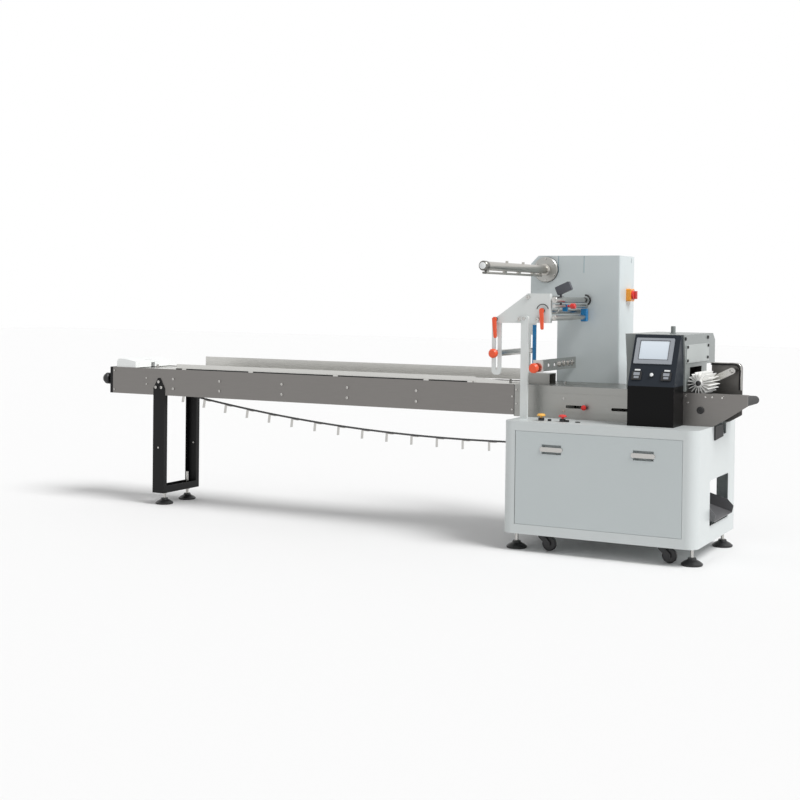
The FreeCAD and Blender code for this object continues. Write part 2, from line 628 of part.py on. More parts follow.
sprockets = [rod(HEAD_SPROCKET_X, LINE_Y - 4, head_z, head_r - half_h, 8, Y_AXIS).fuse(
    rod(HEAD_SPROCKET_X, INNER_FRONT, head_z, SHAFT_RADIUS, BED_BACK - SIDE_THICK - INNER_FRONT, Y_AXIS)),
    rod(TAIL_SPROCKET_X, LINE_Y - 4, tail_z, tail_r - half_h, 8, Y_AXIS).fuse(
    rod(TAIL_SPROCKET_X, INNER_FRONT, tail_z, SHAFT_RADIUS, INNER_BACK - INNER_FRONT, Y_AXIS)),
    rod(HEAD_SPROCKET_X, LINE_Y - 4, drive_z, head_r - half_h, 8, Y_AXIS).fuse(
    rod(HEAD_SPROCKET_X, LINE_Y - HANGER_HALF, drive_z, SHAFT_RADIUS, 2 * HANGER_HALF, Y_AXIS))]
nodes["chain_sprockets"] = group(sprockets)
hangers = []
for y in (LINE_Y - HANGER_HALF - HANGER_THICK, LINE_Y + HANGER_HALF):
    hangers.append(block(HEAD_SPROCKET_X - 30, HEAD_SPROCKET_X + 30, y, y + HANGER_THICK, drive_z - 30, wall_top))
nodes["cabinet_deck"] = deck.fuse(hangers).removeSplitter()

# ---------------------------------------------------------------- bed on the cabinet
front_plate = block(BED_X, BED_RIGHT, LINE_FRONT, INNER_FRONT, CAB_TOP, BED_TOP)
front_plate = front_plate.cut(slot_xz(SLOT_A_LEFT, SLOT_A_RIGHT, SLOT_A_Z - SLOT_A_HIGH / 2, SLOT_A_Z + SLOT_A_HIGH / 2,
                                      LINE_FRONT - 1, INNER_FRONT + 1))
front_plate = front_plate.cut(slot_xz(SLOT_B_LEFT, SLOT_B_RIGHT, SLOT_B_Z - SLOT_B_HIGH / 2, SLOT_B_Z + SLOT_B_HIGH / 2,
                                      LINE_FRONT - 1, INNER_FRONT + 1))
nodes["bed_front_plate"] = front_plate
bed_inner_back = BED_BACK - SIDE_THICK
bed_top = block(BED_X, BED_RIGHT, INNER_FRONT, bed_inner_back, BED_TOP - SIDE_THICK, BED_TOP)
bed_slot = block(BED_X - 1, HEAD_SPROCKET_X + head_r + LUG_REACH + 8, LINE_Y - LUG_SLOT / 2, LINE_Y + LUG_SLOT / 2, 0, far)
bed_back = block(BED_X, BED_RIGHT, bed_inner_back, BED_BACK, CAB_TOP, BED_TOP)
bed_end = block(BED_X, BED_X + SIDE_THICK, INNER_BACK, bed_inner_back, CAB_TOP, BED_TOP - SIDE_THICK)
nodes["bed_table"] = bed_top.cut(bed_slot).fuse([bed_back, bed_end]).removeSplitter()
stem_r = SLOT_A_HIGH / 2 - 0.5
slot_knob = turned([(0, -20), (stem_r, -20), (stem_r, 11), (9, 12), (13, 18), (13, 24), (9, 31), (0, 33)],
                   V(BALL_X - 3, LINE_FRONT, SLOT_A_Z), V(0, -1, 0))
collar = rod(BALL_X - 3, INNER_FRONT + 0.3, SLOT_A_Z, 12, 9, Y_AXIS)
nodes["slot_knob"] = slot_knob.fuse(collar)

# ---------------------------------------------------------------- forming station
plate_front = POST_FRONT + POST_THICK
plate_back = plate_front + PLATE_THICK
post = block(POST_LEFT, POST_RIGHT, POST_FRONT, plate_front, CAB_TOP, POST_TOP)
nodes["front_post"] = rounded(post, Y_AXIS, 12, lambda m: m.z > POST_TOP - 1)

forming_line = [(-618, 1113), (-425, 1251), (-309, 1251), (-309, 1106), (-565, 1102), (-600, 1102)]
forming = slab_xz(forming_line, plate_front, plate_back)
plate_right = max(x for x, z in forming_line)
plate_low = min(z for x, z in forming_line if x == plate_right)
plate_high = max(z for x, z in forming_line if x == plate_right)
forming = forming.fuse(block(plate_right - PLATE_THICK, plate_right, plate_front, plate_back + PLATE_RETURN, plate_low, plate_high))
nodes["forming_plate"] = forming.removeSplitter()
tie_rod_spots = [(-423, 1232), (-467, 1123), (-372, 1123)]
rods = [rod(x, plate_back, z, 9, TOWER_FRONT - plate_back, Y_AXIS) for x, z in tie_rod_spots]

arm_x = (ARM_LEFT + ARM_RIGHT) / 2


def slotted_arm(y0, low, top):
    arm = block(ARM_LEFT, ARM_RIGHT, y0, y0 + ARM_THICK, low, top)
    arm = rounded(arm, Y_AXIS, 20, lambda m: m.z < low + 1)
    cutter = slot_xz(arm_x - SLOT_WIDTH / 2, arm_x + SLOT_WIDTH / 2, SLOT_LOW, SLOT_HIGH, y0 - 1, y0 + ARM_THICK + 1)
    return arm.cut(cutter)


rear_arm_front = TOWER_FRONT - ARM_THICK
nodes["slotted_arms"] = group([slotted_arm(plate_back, ARM_LOW, FRONT_ARM_TOP),
                               slotted_arm(rear_arm_front, ARM_LOW, REAR_ARM_TOP)])
idler_front = plate_back + ARM_THICK
idler = turned([(0, -64), (16, -64), (HAND_KNOB_RADIUS, -54), (HAND_KNOB_RADIUS, -40), (10, -34), (10, -0.3 - ARM_THICK),
                (IDLER_PIN, -0.3 - ARM_THICK), (IDLER_PIN, 0.3), (11, 0.3), (11, 12), (IDLER_RADIUS, 12),
                (IDLER_RADIUS, rear_arm_front - idler_front - 12), (11, rear_arm_front - idler_front - 12),
                (11, rear_arm_front - idler_front - 0.3), (IDLER_PIN, rear_arm_front - idler_front - 0.3),
                (IDLER_PIN, rear_arm_front - idler_front + 4), (0, rear_arm_front - idler_front + 4)],
               V(arm_x, idler_front, LOWER_IDLER_Z), Y_AXIS)
nodes["lower_idler"] = idler


def clamp_lever(x, z, lean):
    """A clamping lever: a round hub on the plate and a tapered handle that hangs and leans."""
    hub = rod(x, plate_front - 0.3, z, 12, 16, V(0, -1, 0))
    blade = [(-10, 6), (10, 6), (7, -88), (4, -94), (-4, -94), (-7, -88)]
    handle = slab_xz(blade, 0, 11)
    handle = rounded(handle, Y_AXIS, 3, lambda m: m.z < -80)
    handle.rotate(V(0, 0, 0), Y_AXIS, -lean)
    handle.translate(V(x, plate_front - 0.3 - 22, z))
    return hub.fuse(handle).removeSplitter()


nodes["clamp_lever_left"] = clamp_lever(-599, 1120, 4.3)
nodes["clamp_lever_right"] = clamp_lever(-346, 1167, 3.1)

# film path rollers between the forming plate and the tower, carried by pins in the tower face
roller_end = TOWER_FRONT - 12


def pin_roller(x, z, radius, front=ROLLER_FRONT):
    length = roller_end - front
    bore = ROLLER_PIN + ROLLER_FIT / 2
    return turned([(bore, 0), (radius - 1, 0), (radius, 1), (radius, length - 1), (radius - 1, length), (bore, length)],
                  V(x, front, z), Y_AXIS)


nodes["roller_upper"] = pin_roller(ROLLER_X, ROLLER_A_Z, ROLLER_RADIUS)
nodes["roller_lower"] = pin_roller(ROLLER_X, ROLLER_D_Z, ROLLER_D_RADIUS)
for z in (ROLLER_A_Z, ROLLER_D_Z):
    rods.append(rod(ROLLER_X, ROLLER_FRONT - 4, z, ROLLER_PIN, TOWER_FRONT - ROLLER_FRONT + 4, Y_AXIS))
rods.append(rod(ROLLER_X, ROLLER_FRONT, BAR_B_Z, BAR_B_RADIUS, TOWER_FRONT - ROLLER_FRONT, Y_AXIS))
rods.append(rod(ROLLER_C_X, ROLLER_FRONT, ROLLER_C_Z, ROLLER_D_RADIUS, TOWER_FRONT - ROLLER_FRONT, Y_AXIS))
nodes["tower_rods"] = group(rods)
clamp_y = 318.0
clamp = block(ROLLER_X - 14, ROLLER_X + 12, clamp_y, clamp_y + 12, BAR_B_Z - 26, BAR_B_Z + 10)
clamp = clamp.cut(rod(ROLLER_X, clamp_y - 1, BAR_B_Z, BAR_B_RADIUS, 14, Y_AXIS))
box = block(-40, 40, 0, 24, -22, 22)
box = rounded(box, Y_AXIS, 5)
box.rotate(V(0, 0, 0), Y_AXIS, -24)
box.translate(V(ROLLER_X - 2, clamp_y - 26, ROLLER_A_Z + 58))
bracket = block(ROLLER_X - 27, ROLLER_X - 21, clamp_y - 6, clamp_y + 12, BAR_B_Z - 10, ROLLER_A_Z + 50)
arm_piece = block(ROLLER_X - 21, ROLLER_X - 14, clamp_y, clamp_y + 12, BAR_B_Z - 10, BAR_B_Z + 8)
nodes["sensor_box"] = box.fuse([bracket, arm_piece]).removeSplitter()

adjust_x = -351.0
bar_low = 866.0
bar_high = 924.0
bar = block(adjust_x, adjust_x + PLATE_THICK, 125, TOWER_FRONT, bar_low, bar_high)
bar = bar.fuse(block(adjust_x - 26, adjust_x + 26, 120, 125, bar_low, bar_high)).removeSplitter()
for y in (250, 330, 400, 460, 520, 575):
    bar = bar.cut(rod(adjust_x - 1, y, (bar_low + bar_high) / 2, 11, PLATE_THICK + 2, X_AXIS))
bar = bar.cut(rod(adjust_x - 13, 119, 885, 5.05, 8, Y_AXIS))
nodes["adjusting_bar"] = bar
nodes["bar_knob"] = turned([(0, -8), (5, -8), (5, 5.3), (10, 5.3), (10, 14), (16, 16), (24, 20), (24, 34), (17, 42), (0, 42)],
                           V(adjust_x - 13, 125, 885), V(0, -1, 0))

box_left = -514.0
box_right = -389.0
box_front = LINE_Y - 44
box_back = LINE_Y + 44
form_line = [(box_front, BED_TOP), (box_back, BED_TOP), (box_back, 845), (box_front, 845)]
inner_line = [(box_front + 4, BED_TOP - 1), (box_back - 4, BED_TOP - 1), (box_back - 4, 841), (box_front + 4, 841)]
nodes["forming_box"] = slab_yz(form_line, box_left, box_right).cut(slab_yz(inner_line, box_left - 1, box_right + 1))
nodes["blue_fittings"] = group([clamp, block(-501, -484, LINE_Y - 5, LINE_Y + 5, 845, 1090)])

# ---------------------------------------------------------------- film tower
tower_line = [(TOWER_LEG_LEFT, CAB_TOP), (TOWER_RIGHT, CAB_TOP), (TOWER_RIGHT, TOWER_TOP), (TOWER_LEFT + TOWER_CHAMFER, TOWER_TOP),
              (TOWER_LEFT, TOWER_TOP - TOWER_CHAMFER), (TOWER_LEFT, TOWER_STEP), (TOWER_LEG_LEFT, TOWER_STEP)]
tower = slab_xz(tower_line, TOWER_FRONT, TOWER_BACK)
tower = rounded(tower, Z_AXIS, TOWER_EDGE, lambda m: m.x > TOWER_RIGHT - 1)
for x in (-450, -308):
    tower = tower.cut(block(x - GROOVE_WIDTH / 2, x + GROOVE_WIDTH / 2, TOWER_FRONT - 1, TOWER_FRONT + 4,
                            TOWER_TOP - GROOVE_LENGTH, TOWER_TOP + 1))
vent_top = TOWER_TOP - VENT_DROP
vent = block(TOWER_RIGHT - 6, TOWER_RIGHT + 1, TOWER_BACK - 57, TOWER_BACK - 49, vent_top - VENT_LENGTH, vent_top)
tower = tower.cut(vent)
tower = tower.cut(rod(SPINDLE_X, TOWER_FRONT - 1, SPINDLE_Z, 12.05, 31, Y_AXIS))
tower = tower.cut(rod(TOWER_RIGHT - 20, SWITCH_Y, SWITCH_Z, 5.05, 30, X_AXIS))
nodes["tower_body"] = tower
flange = turned([(12.05, 0), (FLANGE_RADIUS, 0), (FLANGE_RADIUS, FLANGE_THICK - 4), (FLANGE_RADIUS - 4, FLANGE_THICK),
                 (12.05, FLANGE_THICK)], V(SPINDLE_X, TOWER_FRONT, SPINDLE_Z), V(0, -1, 0))
nodes["spindle_flange"] = flange
shaft_start = TOWER_FRONT - FLANGE_THICK - 0.3
tube_len = shaft_start - SPINDLE_TIP
spindle = turned([(0, -FLANGE_THICK - 25), (12, -FLANGE_THICK - 25), (12, 0), (30, 0), (30, 10), (SPINDLE_RADIUS, 14),
                  (SPINDLE_RADIUS, tube_len - 34), (SPINDLE_RADIUS + 2.5, tube_len - 34),
                  (SPINDLE_RADIUS + 2.5, tube_len - 6), (SPINDLE_RADIUS - 2, tube_len), (0, tube_len)],
                 V(SPINDLE_X, shaft_start, SPINDLE_Z), V(0, -1, 0))
lower_z = SPINDLE_Z - SPINDLE_RADIUS - 12
side_rod = rod(SPINDLE_X, SPINDLE_TIP + 6, lower_z, 5.5, tube_len - 60, Y_AXIS)
bridges = []
for share in (0.06, 0.33, 0.55, 0.78, 0.9):
    y = SPINDLE_TIP + share * tube_len
    bridges.append(block(SPINDLE_X - 6, SPINDLE_X + 6, y - 14, y + 14, lower_z - 1, SPINDLE_Z - SPINDLE_RADIUS + 3))
studs = [rod(SPINDLE_X, SPINDLE_TIP + share * tube_len, SPINDLE_Z, 7, SPINDLE_RADIUS + 9, Z_AXIS) for share in (0.36, 0.62)]
nodes["film_spindle"] = spindle.fuse([side_rod] + bridges + studs).removeSplitter()

half_s = SWITCH_SIDE / 2
plate = block(TOWER_RIGHT, TOWER_RIGHT + 24, SWITCH_Y - half_s, SWITCH_Y + half_s, SWITCH_Z - half_s, SWITCH_Z + half_s)
plate = rounded(plate, X_AXIS, 8)
nodes["switch_plate"] = plate.cut(rod(TOWER_RIGHT - 1, SWITCH_Y, SWITCH_Z, 5.05, 30, X_AXIS))
dial = turned([(0, -14), (5, -14), (5, 24.3), (24, 24.3), (24, 34), (21, 36), (0, 36)],
              V(TOWER_RIGHT, SWITCH_Y, SWITCH_Z), X_AXIS)
blade = block(TOWER_RIGHT + 36, TOWER_RIGHT + 50, SWITCH_Y - 6, SWITCH_Y + 6, SWITCH_Z - 21, SWITCH_Z + 21)
nodes["main_switch"] = dial.fuse(blade).removeSplitter()

# ---------------------------------------------------------------- console
con_line = [(CON_FRONT, CAB_TOP), (LINE_FRONT, CAB_TOP), (LINE_FRONT, BED_TOP), (LINE_FRONT, SEAL_LOW - 4),
            (SEAL_FRONT + 20, CON_TOP), (CON_TOP_FRONT, CON_TOP), (CON_FRONT, CON_KNEE)]
nodes["console_body"] = slab_yz(con_line, CON_LEFT, CON_RIGHT)

tilt = math.atan2(CON_TOP_FRONT - CON_FRONT, CON_TOP - CON_KNEE)


def on_slope(shape):
    """Moves a piece built with its back on the XZ plane (facing -Y) onto the console's sloped face."""
    shape.rotate(V(0, 0, 0), X_AXIS, -math.degrees(tilt))
    shape.translate(V(0, CON_FRONT, CON_KNEE))
    return shape


slope_len = math.hypot(CON_TOP_FRONT - CON_FRONT, CON_TOP - CON_KNEE)
bezel_low = 0.43 * slope_len
bezel_high = 0.93 * slope_len
bezel = block(CON_LEFT + 12, CON_RIGHT - 26, -5, 0, bezel_low, bezel_high)
bezel = rounded(bezel, Y_AXIS, 4)
glass_box = (CON_LEFT + 34, CON_RIGHT - 46, bezel_low + 22, bezel_high - 14)
bezel = bezel.cut(block(glass_box[0], glass_box[1], -6, 1, glass_box[2], glass_box[3]))
nodes["screen_bezel"] = on_slope(bezel)
nodes["screen_glass"] = on_slope(block(glass_box[0], glass_box[1], -3, 0, glass_box[2], glass_box[3]))
switches = []
for x in (CON_LEFT + 38, CON_RIGHT - 42):
    switches.append(on_slope(rounded(block(x - 24, x + 24, -6, 0, 30, 72), Y_AXIS, 3)))
button_x = (CON_LEFT + CON_RIGHT) / 2
switches.append(on_slope(turned([(0, 0), (9, 0), (9, 6), (7, 8), (0, 8)], V(button_x, 0, 56), V(0, -1, 0))))
nodes["console_switches"] = group(switches)

# ---------------------------------------------------------------- end-seal housing
seal_line = [(LINE_FRONT, BED_TOP), (TUNNEL_FRONT, BED_TOP), (TUNNEL_FRONT, SEAL_LOW - 8), (TUNNEL_BACK, SEAL_LOW - 8),
             (TUNNEL_BACK, BED_TOP), (BED_BACK, BED_TOP), (BED_BACK, SEAL_LOW), (SEAL_BACK, SEAL_LOW),
             (SEAL_BACK, SEAL_TOP - 34), (SEAL_BACK - 41, SEAL_TOP), (SEAL_FRONT + 20, SEAL_TOP),
             (SEAL_FRONT + 20, CON_TOP), (LINE_FRONT, SEAL_LOW - 4)]
stub = turned([(0, 0), (16, 0), (16, 3), (11.5, 3), (11.5, 35), (9.5, 37), (0, 37)], V(238, 420, SEAL_TOP), Z_AXIS)
nodes["end_seal_housing"] = slab_yz(seal_line, SEAL_LEFT, SEAL_RIGHT).fuse(stub)
cover = block(SEAL_RIGHT, SEAL_RIGHT + SEAL_COVER_THICK, SEAL_FRONT + 55, SEAL_BACK - 130, SEAL_LOW + 14, SEAL_TOP - 48)
nodes["end_seal_cover"] = rounded(cover, X_AXIS, 6)

# ---------------------------------------------------------------- discharge
out_line = [(BED_RIGHT, CAB_TOP), (484, CAB_TOP), (538, 662), (OUT_RIGHT, 735), (OUT_RIGHT, OUT_TOP), (BED_RIGHT, OUT_TOP)]
out_front = slab_xz(out_line, LINE_FRONT, INNER_FRONT)
out_front = out_front.fuse(block(BRUSH_X + BRUSH_RADIUS + 10, OUT_RIGHT, INNER_FRONT, INNER_FRONT + 22, OUT_TOP - 4, OUT_TOP))
nodes["discharge_front_plate"] = out_front.removeSplitter()
guard_front = LINE_BACK - GUARD_DEPTH
back_line = [(BED_RIGHT, CAB_TOP), (484, CAB_TOP), (538, 662), (GUARD_RIGHT, 667), (GUARD_RIGHT, OUT_TOP), (BED_RIGHT, OUT_TOP)]
rear_plate = slab_xz(back_line, INNER_BACK, LINE_BACK)
guard = block(GUARD_LEFT, GUARD_RIGHT, guard_front, LINE_BACK, OUT_TOP, GUARD_TOP)
guard = rounded(guard, Y_AXIS, 28, lambda m: m.z > GUARD_TOP - 1 and m.x > GUARD_RIGHT - 1)
hollow = block(GUARD_LEFT - 1, GUARD_RIGHT - 4, guard_front - 1, LINE_BACK - 4, OUT_TOP - 1, GUARD_TOP - 4)
hollow = rounded(hollow, Y_AXIS, 24, lambda m: m.z > GUARD_TOP - 6 and m.x > GUARD_RIGHT - 6)
nodes["discharge_rear_plate"] = rear_plate.fuse(guard.cut(hollow)).removeSplitter()

belt_roll_z = BELT_Z - BELT_THICK - BELT_ROLLER
roll_spots = [(BELT_LEFT, belt_roll_z), (BELT_RIGHT, belt_roll_z), (DRIVE_X, DRIVE_Z)]
belt_front = INNER_FRONT + 24
belt_back = guard_front - 6


def hull_wire(spots, radius, y):
    """The tight outline round three equal circles, given in clockwise order seen with X right and Z up."""
    edges = []
    count = len(spots)
    for i in range(count):
        ax, az = spots[i - 1]
        bx, bz = spots[i]
        cx, cz = spots[(i + 1) % count]
        out_a = math.atan2(bx - ax, -(bz - az))
        out_b = math.atan2(cx - bx, -(cz - bz))
        if out_b > out_a:
            out_b -= 2 * math.pi
        mid = (out_a + out_b) / 2
        start = V(bx + radius * math.cos(out_a), y, bz + radius * math.sin(out_a))
        middle_point = V(bx + radius * math.cos(mid), y, bz + radius * math.sin(mid))
        end = V(bx + radius * math.cos(out_b), y, bz + radius * math.sin(out_b))
        edges.append(Part.Arc(start, middle_point, end).toShape())
        nxt = V(cx + radius * math.cos(out_b), y, cz + radius * math.sin(out_b))
        edges.append(Part.LineSegment(end, nxt).toShape())
    return Part.Wire(edges)


belt_ring = Part.Face(hull_wire(roll_spots, BELT_ROLLER + BELT_THICK, belt_front))
belt_ring = belt_ring.cut(Part.Face(hull_wire(roll_spots, BELT_ROLLER, belt_front)))
nodes["discharge_belt"] = belt_ring.extrude(V(0, belt_back - belt_front, 0))
rolls = []
for x, z in roll_spots:
    roll = rod(x, belt_front, z, BELT_ROLLER, belt_back - belt_front, Y_AXIS)
    reach = INNER_BACK if x < GUARD_RIGHT else belt_back
    rolls.append(roll.fuse(rod(x, INNER_FRONT, z, 7, reach - INNER_FRONT, Y_AXIS)))
rolls.append(turned([(0, 0), (17, 0), (17, 8), (14, 10), (7, 10), (7, 6), (0, 6)], V(DRIVE_X, LINE_FRONT, DRIVE_Z), V(0, -1, 0)))
nodes["discharge_rollers"] = group(rolls)

# brush roller: a hub tube with thin radial vanes that lean
brush_parts = [rod(BRUSH_X, BRUSH_FRONT, BRUSH_Z, BRUSH_HUB, BRUSH_LENGTH, Y_AXIS)]
for i in range(BRUSH_BLADES):
    vane = block(-1.25, 1.25, 0, BRUSH_LENGTH - 8, BRUSH_HUB - 1, BRUSH_RADIUS)
    vane.rotate(V(0, 0, 0), Y_AXIS, 360.0 * i / BRUSH_BLADES)
    vane.translate(V(BRUSH_X, BRUSH_FRONT + 4, BRUSH_Z))
    brush_parts.append(vane)
brush = brush_parts[0].fuse(brush_parts[1:]).removeSplitter()
nodes["brush_roller"] = brush.cut(rod(BRUSH_X, BRUSH_FRONT - 1, BRUSH_Z, BRUSH_PIN + 0.05, BRUSH_LENGTH + 2, Y_AXIS))
brush_back = BRUSH_FRONT + BRUSH_LENGTH
run = V(ARM_PIVOT_X - BRUSH_X, 0, ARM_PIVOT_Z - BRUSH_Z)
arm_len = run.Length
arm_turn = math.degrees(math.atan2(run.z, run.x))
arm = rounded(block(-16, arm_len + 16, 0, 8, -16, 16), Y_AXIS, 15.9)
arm.rotate(V(0, 0, 0), Y_AXIS, -arm_turn)
arm.translate(V(BRUSH_X, brush_back + 5, BRUSH_Z))
pin = rod(BRUSH_X, BRUSH_FRONT, BRUSH_Z, BRUSH_PIN, BRUSH_LENGTH + 13, Y_AXIS)
pivot = rod(ARM_PIVOT_X, brush_back + 5, ARM_PIVOT_Z, 10, LINE_BACK - 4 - brush_back - 5, Y_AXIS)
nodes["brush_arm"] = arm.fuse([pin, pivot]).removeSplitter()

# ---------------------------------------------------------------- buttons on the deck
def mushroom(x, radius):
    """A mushroom push button: a collar on the deck and a domed head on a stem."""
    base = turned([(6.05, 0), (15, 0), (15, 12), (13, 14), (6.05, 14)], V(x, 95, CAB_TOP), Z_AXIS)
    head = turned([(0, 6), (6, 6), (6, 22), (radius - 3, 22), (radius, 24), (radius, 28), (radius - 6, 34), (0, 36)],
                  V(x, 95, CAB_TOP), Z_AXIS)
    return base, head


yellow_base, yellow_head = mushroom(-320, 21)
red_base, red_head = mushroom(-209, 20)
small = [turned([(0, 0), (9, 0), (9, 8), (7, 10), (0, 10)], V(x, 95, CAB_TOP), Z_AXIS) for x in (-277, -184)]
nodes["yellow_button"] = yellow_head
nodes["red_button"] = red_head
small.append(turned([(0, 0), (12, 0), (12, 4), (0, 4)], V(-131, 95, CAB_TOP), Z_AXIS))
nodes["deck_buttons"] = group([yellow_base, red_base] + small)

# ---------------------------------------------------------------- write the nodes
os.makedirs("parts", exist_ok=True)
shift = V(-CENTRE_X, -CENTRE_Y, 0)
for name, shape in nodes.items():
    moved = shape.copy()
    moved.translate(shift)
    moved.exportStep("parts/%s.step" % name)
    box = moved.BoundBox
    print("%-24s solids %3d faces %4d valid %s  x %.1f..%.1f y %.1f..%.1f z %.1f..%.1f" % (
        name, len(moved.Solids), len(moved.Faces), moved.isValid(), box.XMin, box.XMax, box.YMin, box.YMax, box.ZMin, box.ZMax))
print("nodes", len(nodes), "lugs", lug_count, "lug pitch", round(lug_pitch, 2), "shift", round(CENTRE_X, 3), round(CENTRE_Y, 3))
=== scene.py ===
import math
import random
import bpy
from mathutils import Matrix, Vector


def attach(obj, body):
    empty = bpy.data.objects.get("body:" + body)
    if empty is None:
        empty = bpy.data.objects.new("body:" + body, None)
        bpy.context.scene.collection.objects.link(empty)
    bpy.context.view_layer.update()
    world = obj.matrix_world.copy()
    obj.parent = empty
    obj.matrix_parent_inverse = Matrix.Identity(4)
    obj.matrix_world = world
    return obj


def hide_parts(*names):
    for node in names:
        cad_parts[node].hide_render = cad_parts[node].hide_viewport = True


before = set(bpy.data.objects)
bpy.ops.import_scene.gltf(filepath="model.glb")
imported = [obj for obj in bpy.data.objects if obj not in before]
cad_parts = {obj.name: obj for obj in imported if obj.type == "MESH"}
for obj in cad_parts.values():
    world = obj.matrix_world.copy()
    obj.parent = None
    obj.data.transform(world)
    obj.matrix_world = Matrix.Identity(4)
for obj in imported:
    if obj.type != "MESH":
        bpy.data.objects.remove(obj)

# %% [markdown]
# # A horizontal flow wrapper
# The imported CAD frame is already loaded.  This lesson dresses it: procedural finishes for every CAD piece,
# then the small things that are too fine for the CAD (screws, chain links, labels), then light and camera.
# Sizes are in metres in the CAD's own frame.  The helper `at` turns the machine's own millimetre coordinates
# (X = 0 at the cabinet's middle, Y = 0 at the cabinet's front, Z = 0 on the floor) into that frame.

random.seed(7)
SHIFT_X, SHIFT_Y = 1268.0, -342.5
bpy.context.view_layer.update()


def at(x, y, z):
    return Vector(((x + SHIFT_X) / 1000, (y + SHIFT_Y) / 1000, z / 1000))


print("frame loaded:", len(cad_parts), "nodes")

# %% [markdown]
# ## A small language for materials
# `Value` wraps a node socket so that finishes read like arithmetic; `Finish` holds one material and makes nodes.

# %% Socket wrapper and material builder
class Value:
    def __init__(self, finish, socket):
        self.finish = finish
        self.socket = socket

    def _math(self, operation, a, b=None):
        return self.finish.node("ShaderNodeMath", {"operation": operation}, {0: a, 1: b} if b is not None else {0: a})

    def __add__(self, other):
        return self._math("ADD", self, other)

    def __radd__(self, other):
        return self._math("ADD", other, self)

    def __sub__(self, other):
        return self._math("SUBTRACT", self, other)

    def __rsub__(self, other):
        return self._math("SUBTRACT", other, self)

    def __mul__(self, other):
        return self._math("MULTIPLY", self, other)

    def __rmul__(self, other):
        return self._math("MULTIPLY", other, self)

    def __truediv__(self, other):
        return self._math("DIVIDE", self, other)

    def __rtruediv__(self, other):
        return self._math("DIVIDE", other, self)

    def __gt__(self, other):
        return self._math("GREATER_THAN", self, other)

    def __lt__(self, other):
        return self._math("LESS_THAN", self, other)


class Finish:
    def __init__(self, name):
        self.material = bpy.data.materials.new(name)
        self.material.use_nodes = True
        self.tree = self.material.node_tree
        self.tree.nodes.clear()
        self.out = self.tree.nodes.new("ShaderNodeOutputMaterial")
        self.coords = self.tree.nodes.new("ShaderNodeTexCoord")

    def node(self, kind, settings=None, inputs=None, output=0):
        made = self.tree.nodes.new(kind)
        for key, value in (settings or {}).items():
            setattr(made, key, value)
        for key, value in (inputs or {}).items():
            target = made.inputs[key]
            if isinstance(value, Value):
                self.tree.links.new(value.socket, target)
            elif isinstance(value, tuple) and len(value) == 3 and len(target.default_value) == 4:
                target.default_value = (*value, 1.0)
            else:
                target.default_value = value
        return Value(self, made.outputs[output])

    def place(self):
        """The object coordinates, as a vector and as three numbers in metres."""
        vector = Value(self, self.coords.outputs["Object"])
        split = self.node("ShaderNodeSeparateXYZ", None, {0: vector})
        parts = split.socket.node.outputs
        return vector, Value(self, parts[0]), Value(self, parts[1]), Value(self, parts[2])

    def noise(self, scale, detail=2.0, stretch=(1.0, 1.0, 1.0)):
        vector, _, _, _ = self.place()
        mapped = self.node("ShaderNodeVectorMath", {"operation": "MULTIPLY"}, {0: vector, 1: stretch})
        return self.node("ShaderNodeTexNoise", None, {"Vector": mapped, "Scale": scale, "Detail": detail})

    def mix(self, factor, a, b):
        return self.node("ShaderNodeMix", {"data_type": "RGBA"}, {0: factor, 6: a, 7: b}, 2)

    def bump(self, height, strength, distance=0.0005):
        return self.node("ShaderNodeBump", None, {"Height": height, "Strength": strength, "Distance": distance})

    def close(self, **inputs):
        names = {"color": "Base Color", "rough": "Roughness", "metal": "Metallic", "coat": "Coat Weight", "normal": "Normal",
                 "coat_rough": "Coat Roughness", "spec": "Specular IOR Level", "glow": "Emission Color", "glow_level": "Emission Strength"}
        shader = self.node("ShaderNodeBsdfPrincipled", None, {names[k]: v for k, v in inputs.items()})
        self.tree.links.new(shader.socket, self.out.inputs["Surface"])
        return self.material


print("material builder ready")

# %% [markdown]
# ## Finishes
# Powder paint has a fine orange-peel bump and slightly uneven gloss; sheet stainless has long grain; plastics are plain.

# %% Paints, metals and plastics
def paint(name, color, rough=0.42, grain=900.0, coat=0.15, depth=0.05, spec=0.5):
    f = Finish(name)
    cloud = f.noise(3.0, 3.0)
    peel = f.noise(grain, 1.0)
    shade = f.mix(cloud * 0.6, color, tuple(c * 0.93 for c in color))
    return f.close(color=shade, rough=rough + (cloud - 0.5) * 0.10, coat=coat, spec=spec,
                   normal=f.bump(peel, depth))


def brushed(name, color, along="x", rough=0.32, dark=0.82):
    f = Finish(name)
    stretch = {"x": (2.0, 160.0, 160.0), "y": (160.0, 2.0, 160.0), "z": (160.0, 160.0, 2.0)}[along]
    grain = f.noise(6.0, 3.0, stretch)
    cloud = f.noise(2.2, 2.0)
    shade = f.mix(grain * 0.5 + cloud * 0.3, color, tuple(c * dark for c in color))
    return f.close(color=shade, rough=rough + (grain - 0.5) * 0.22, metal=1.0, normal=f.bump(grain, 0.08, 0.0002))


def plastic(name, color, rough=0.4, coat=0.0):
    f = Finish(name)
    cloud = f.noise(40.0, 2.0)
    return f.close(color=f.mix(cloud * 0.35, color, tuple(c * 0.88 for c in color)), rough=rough + (cloud - 0.5) * 0.1, coat=coat)


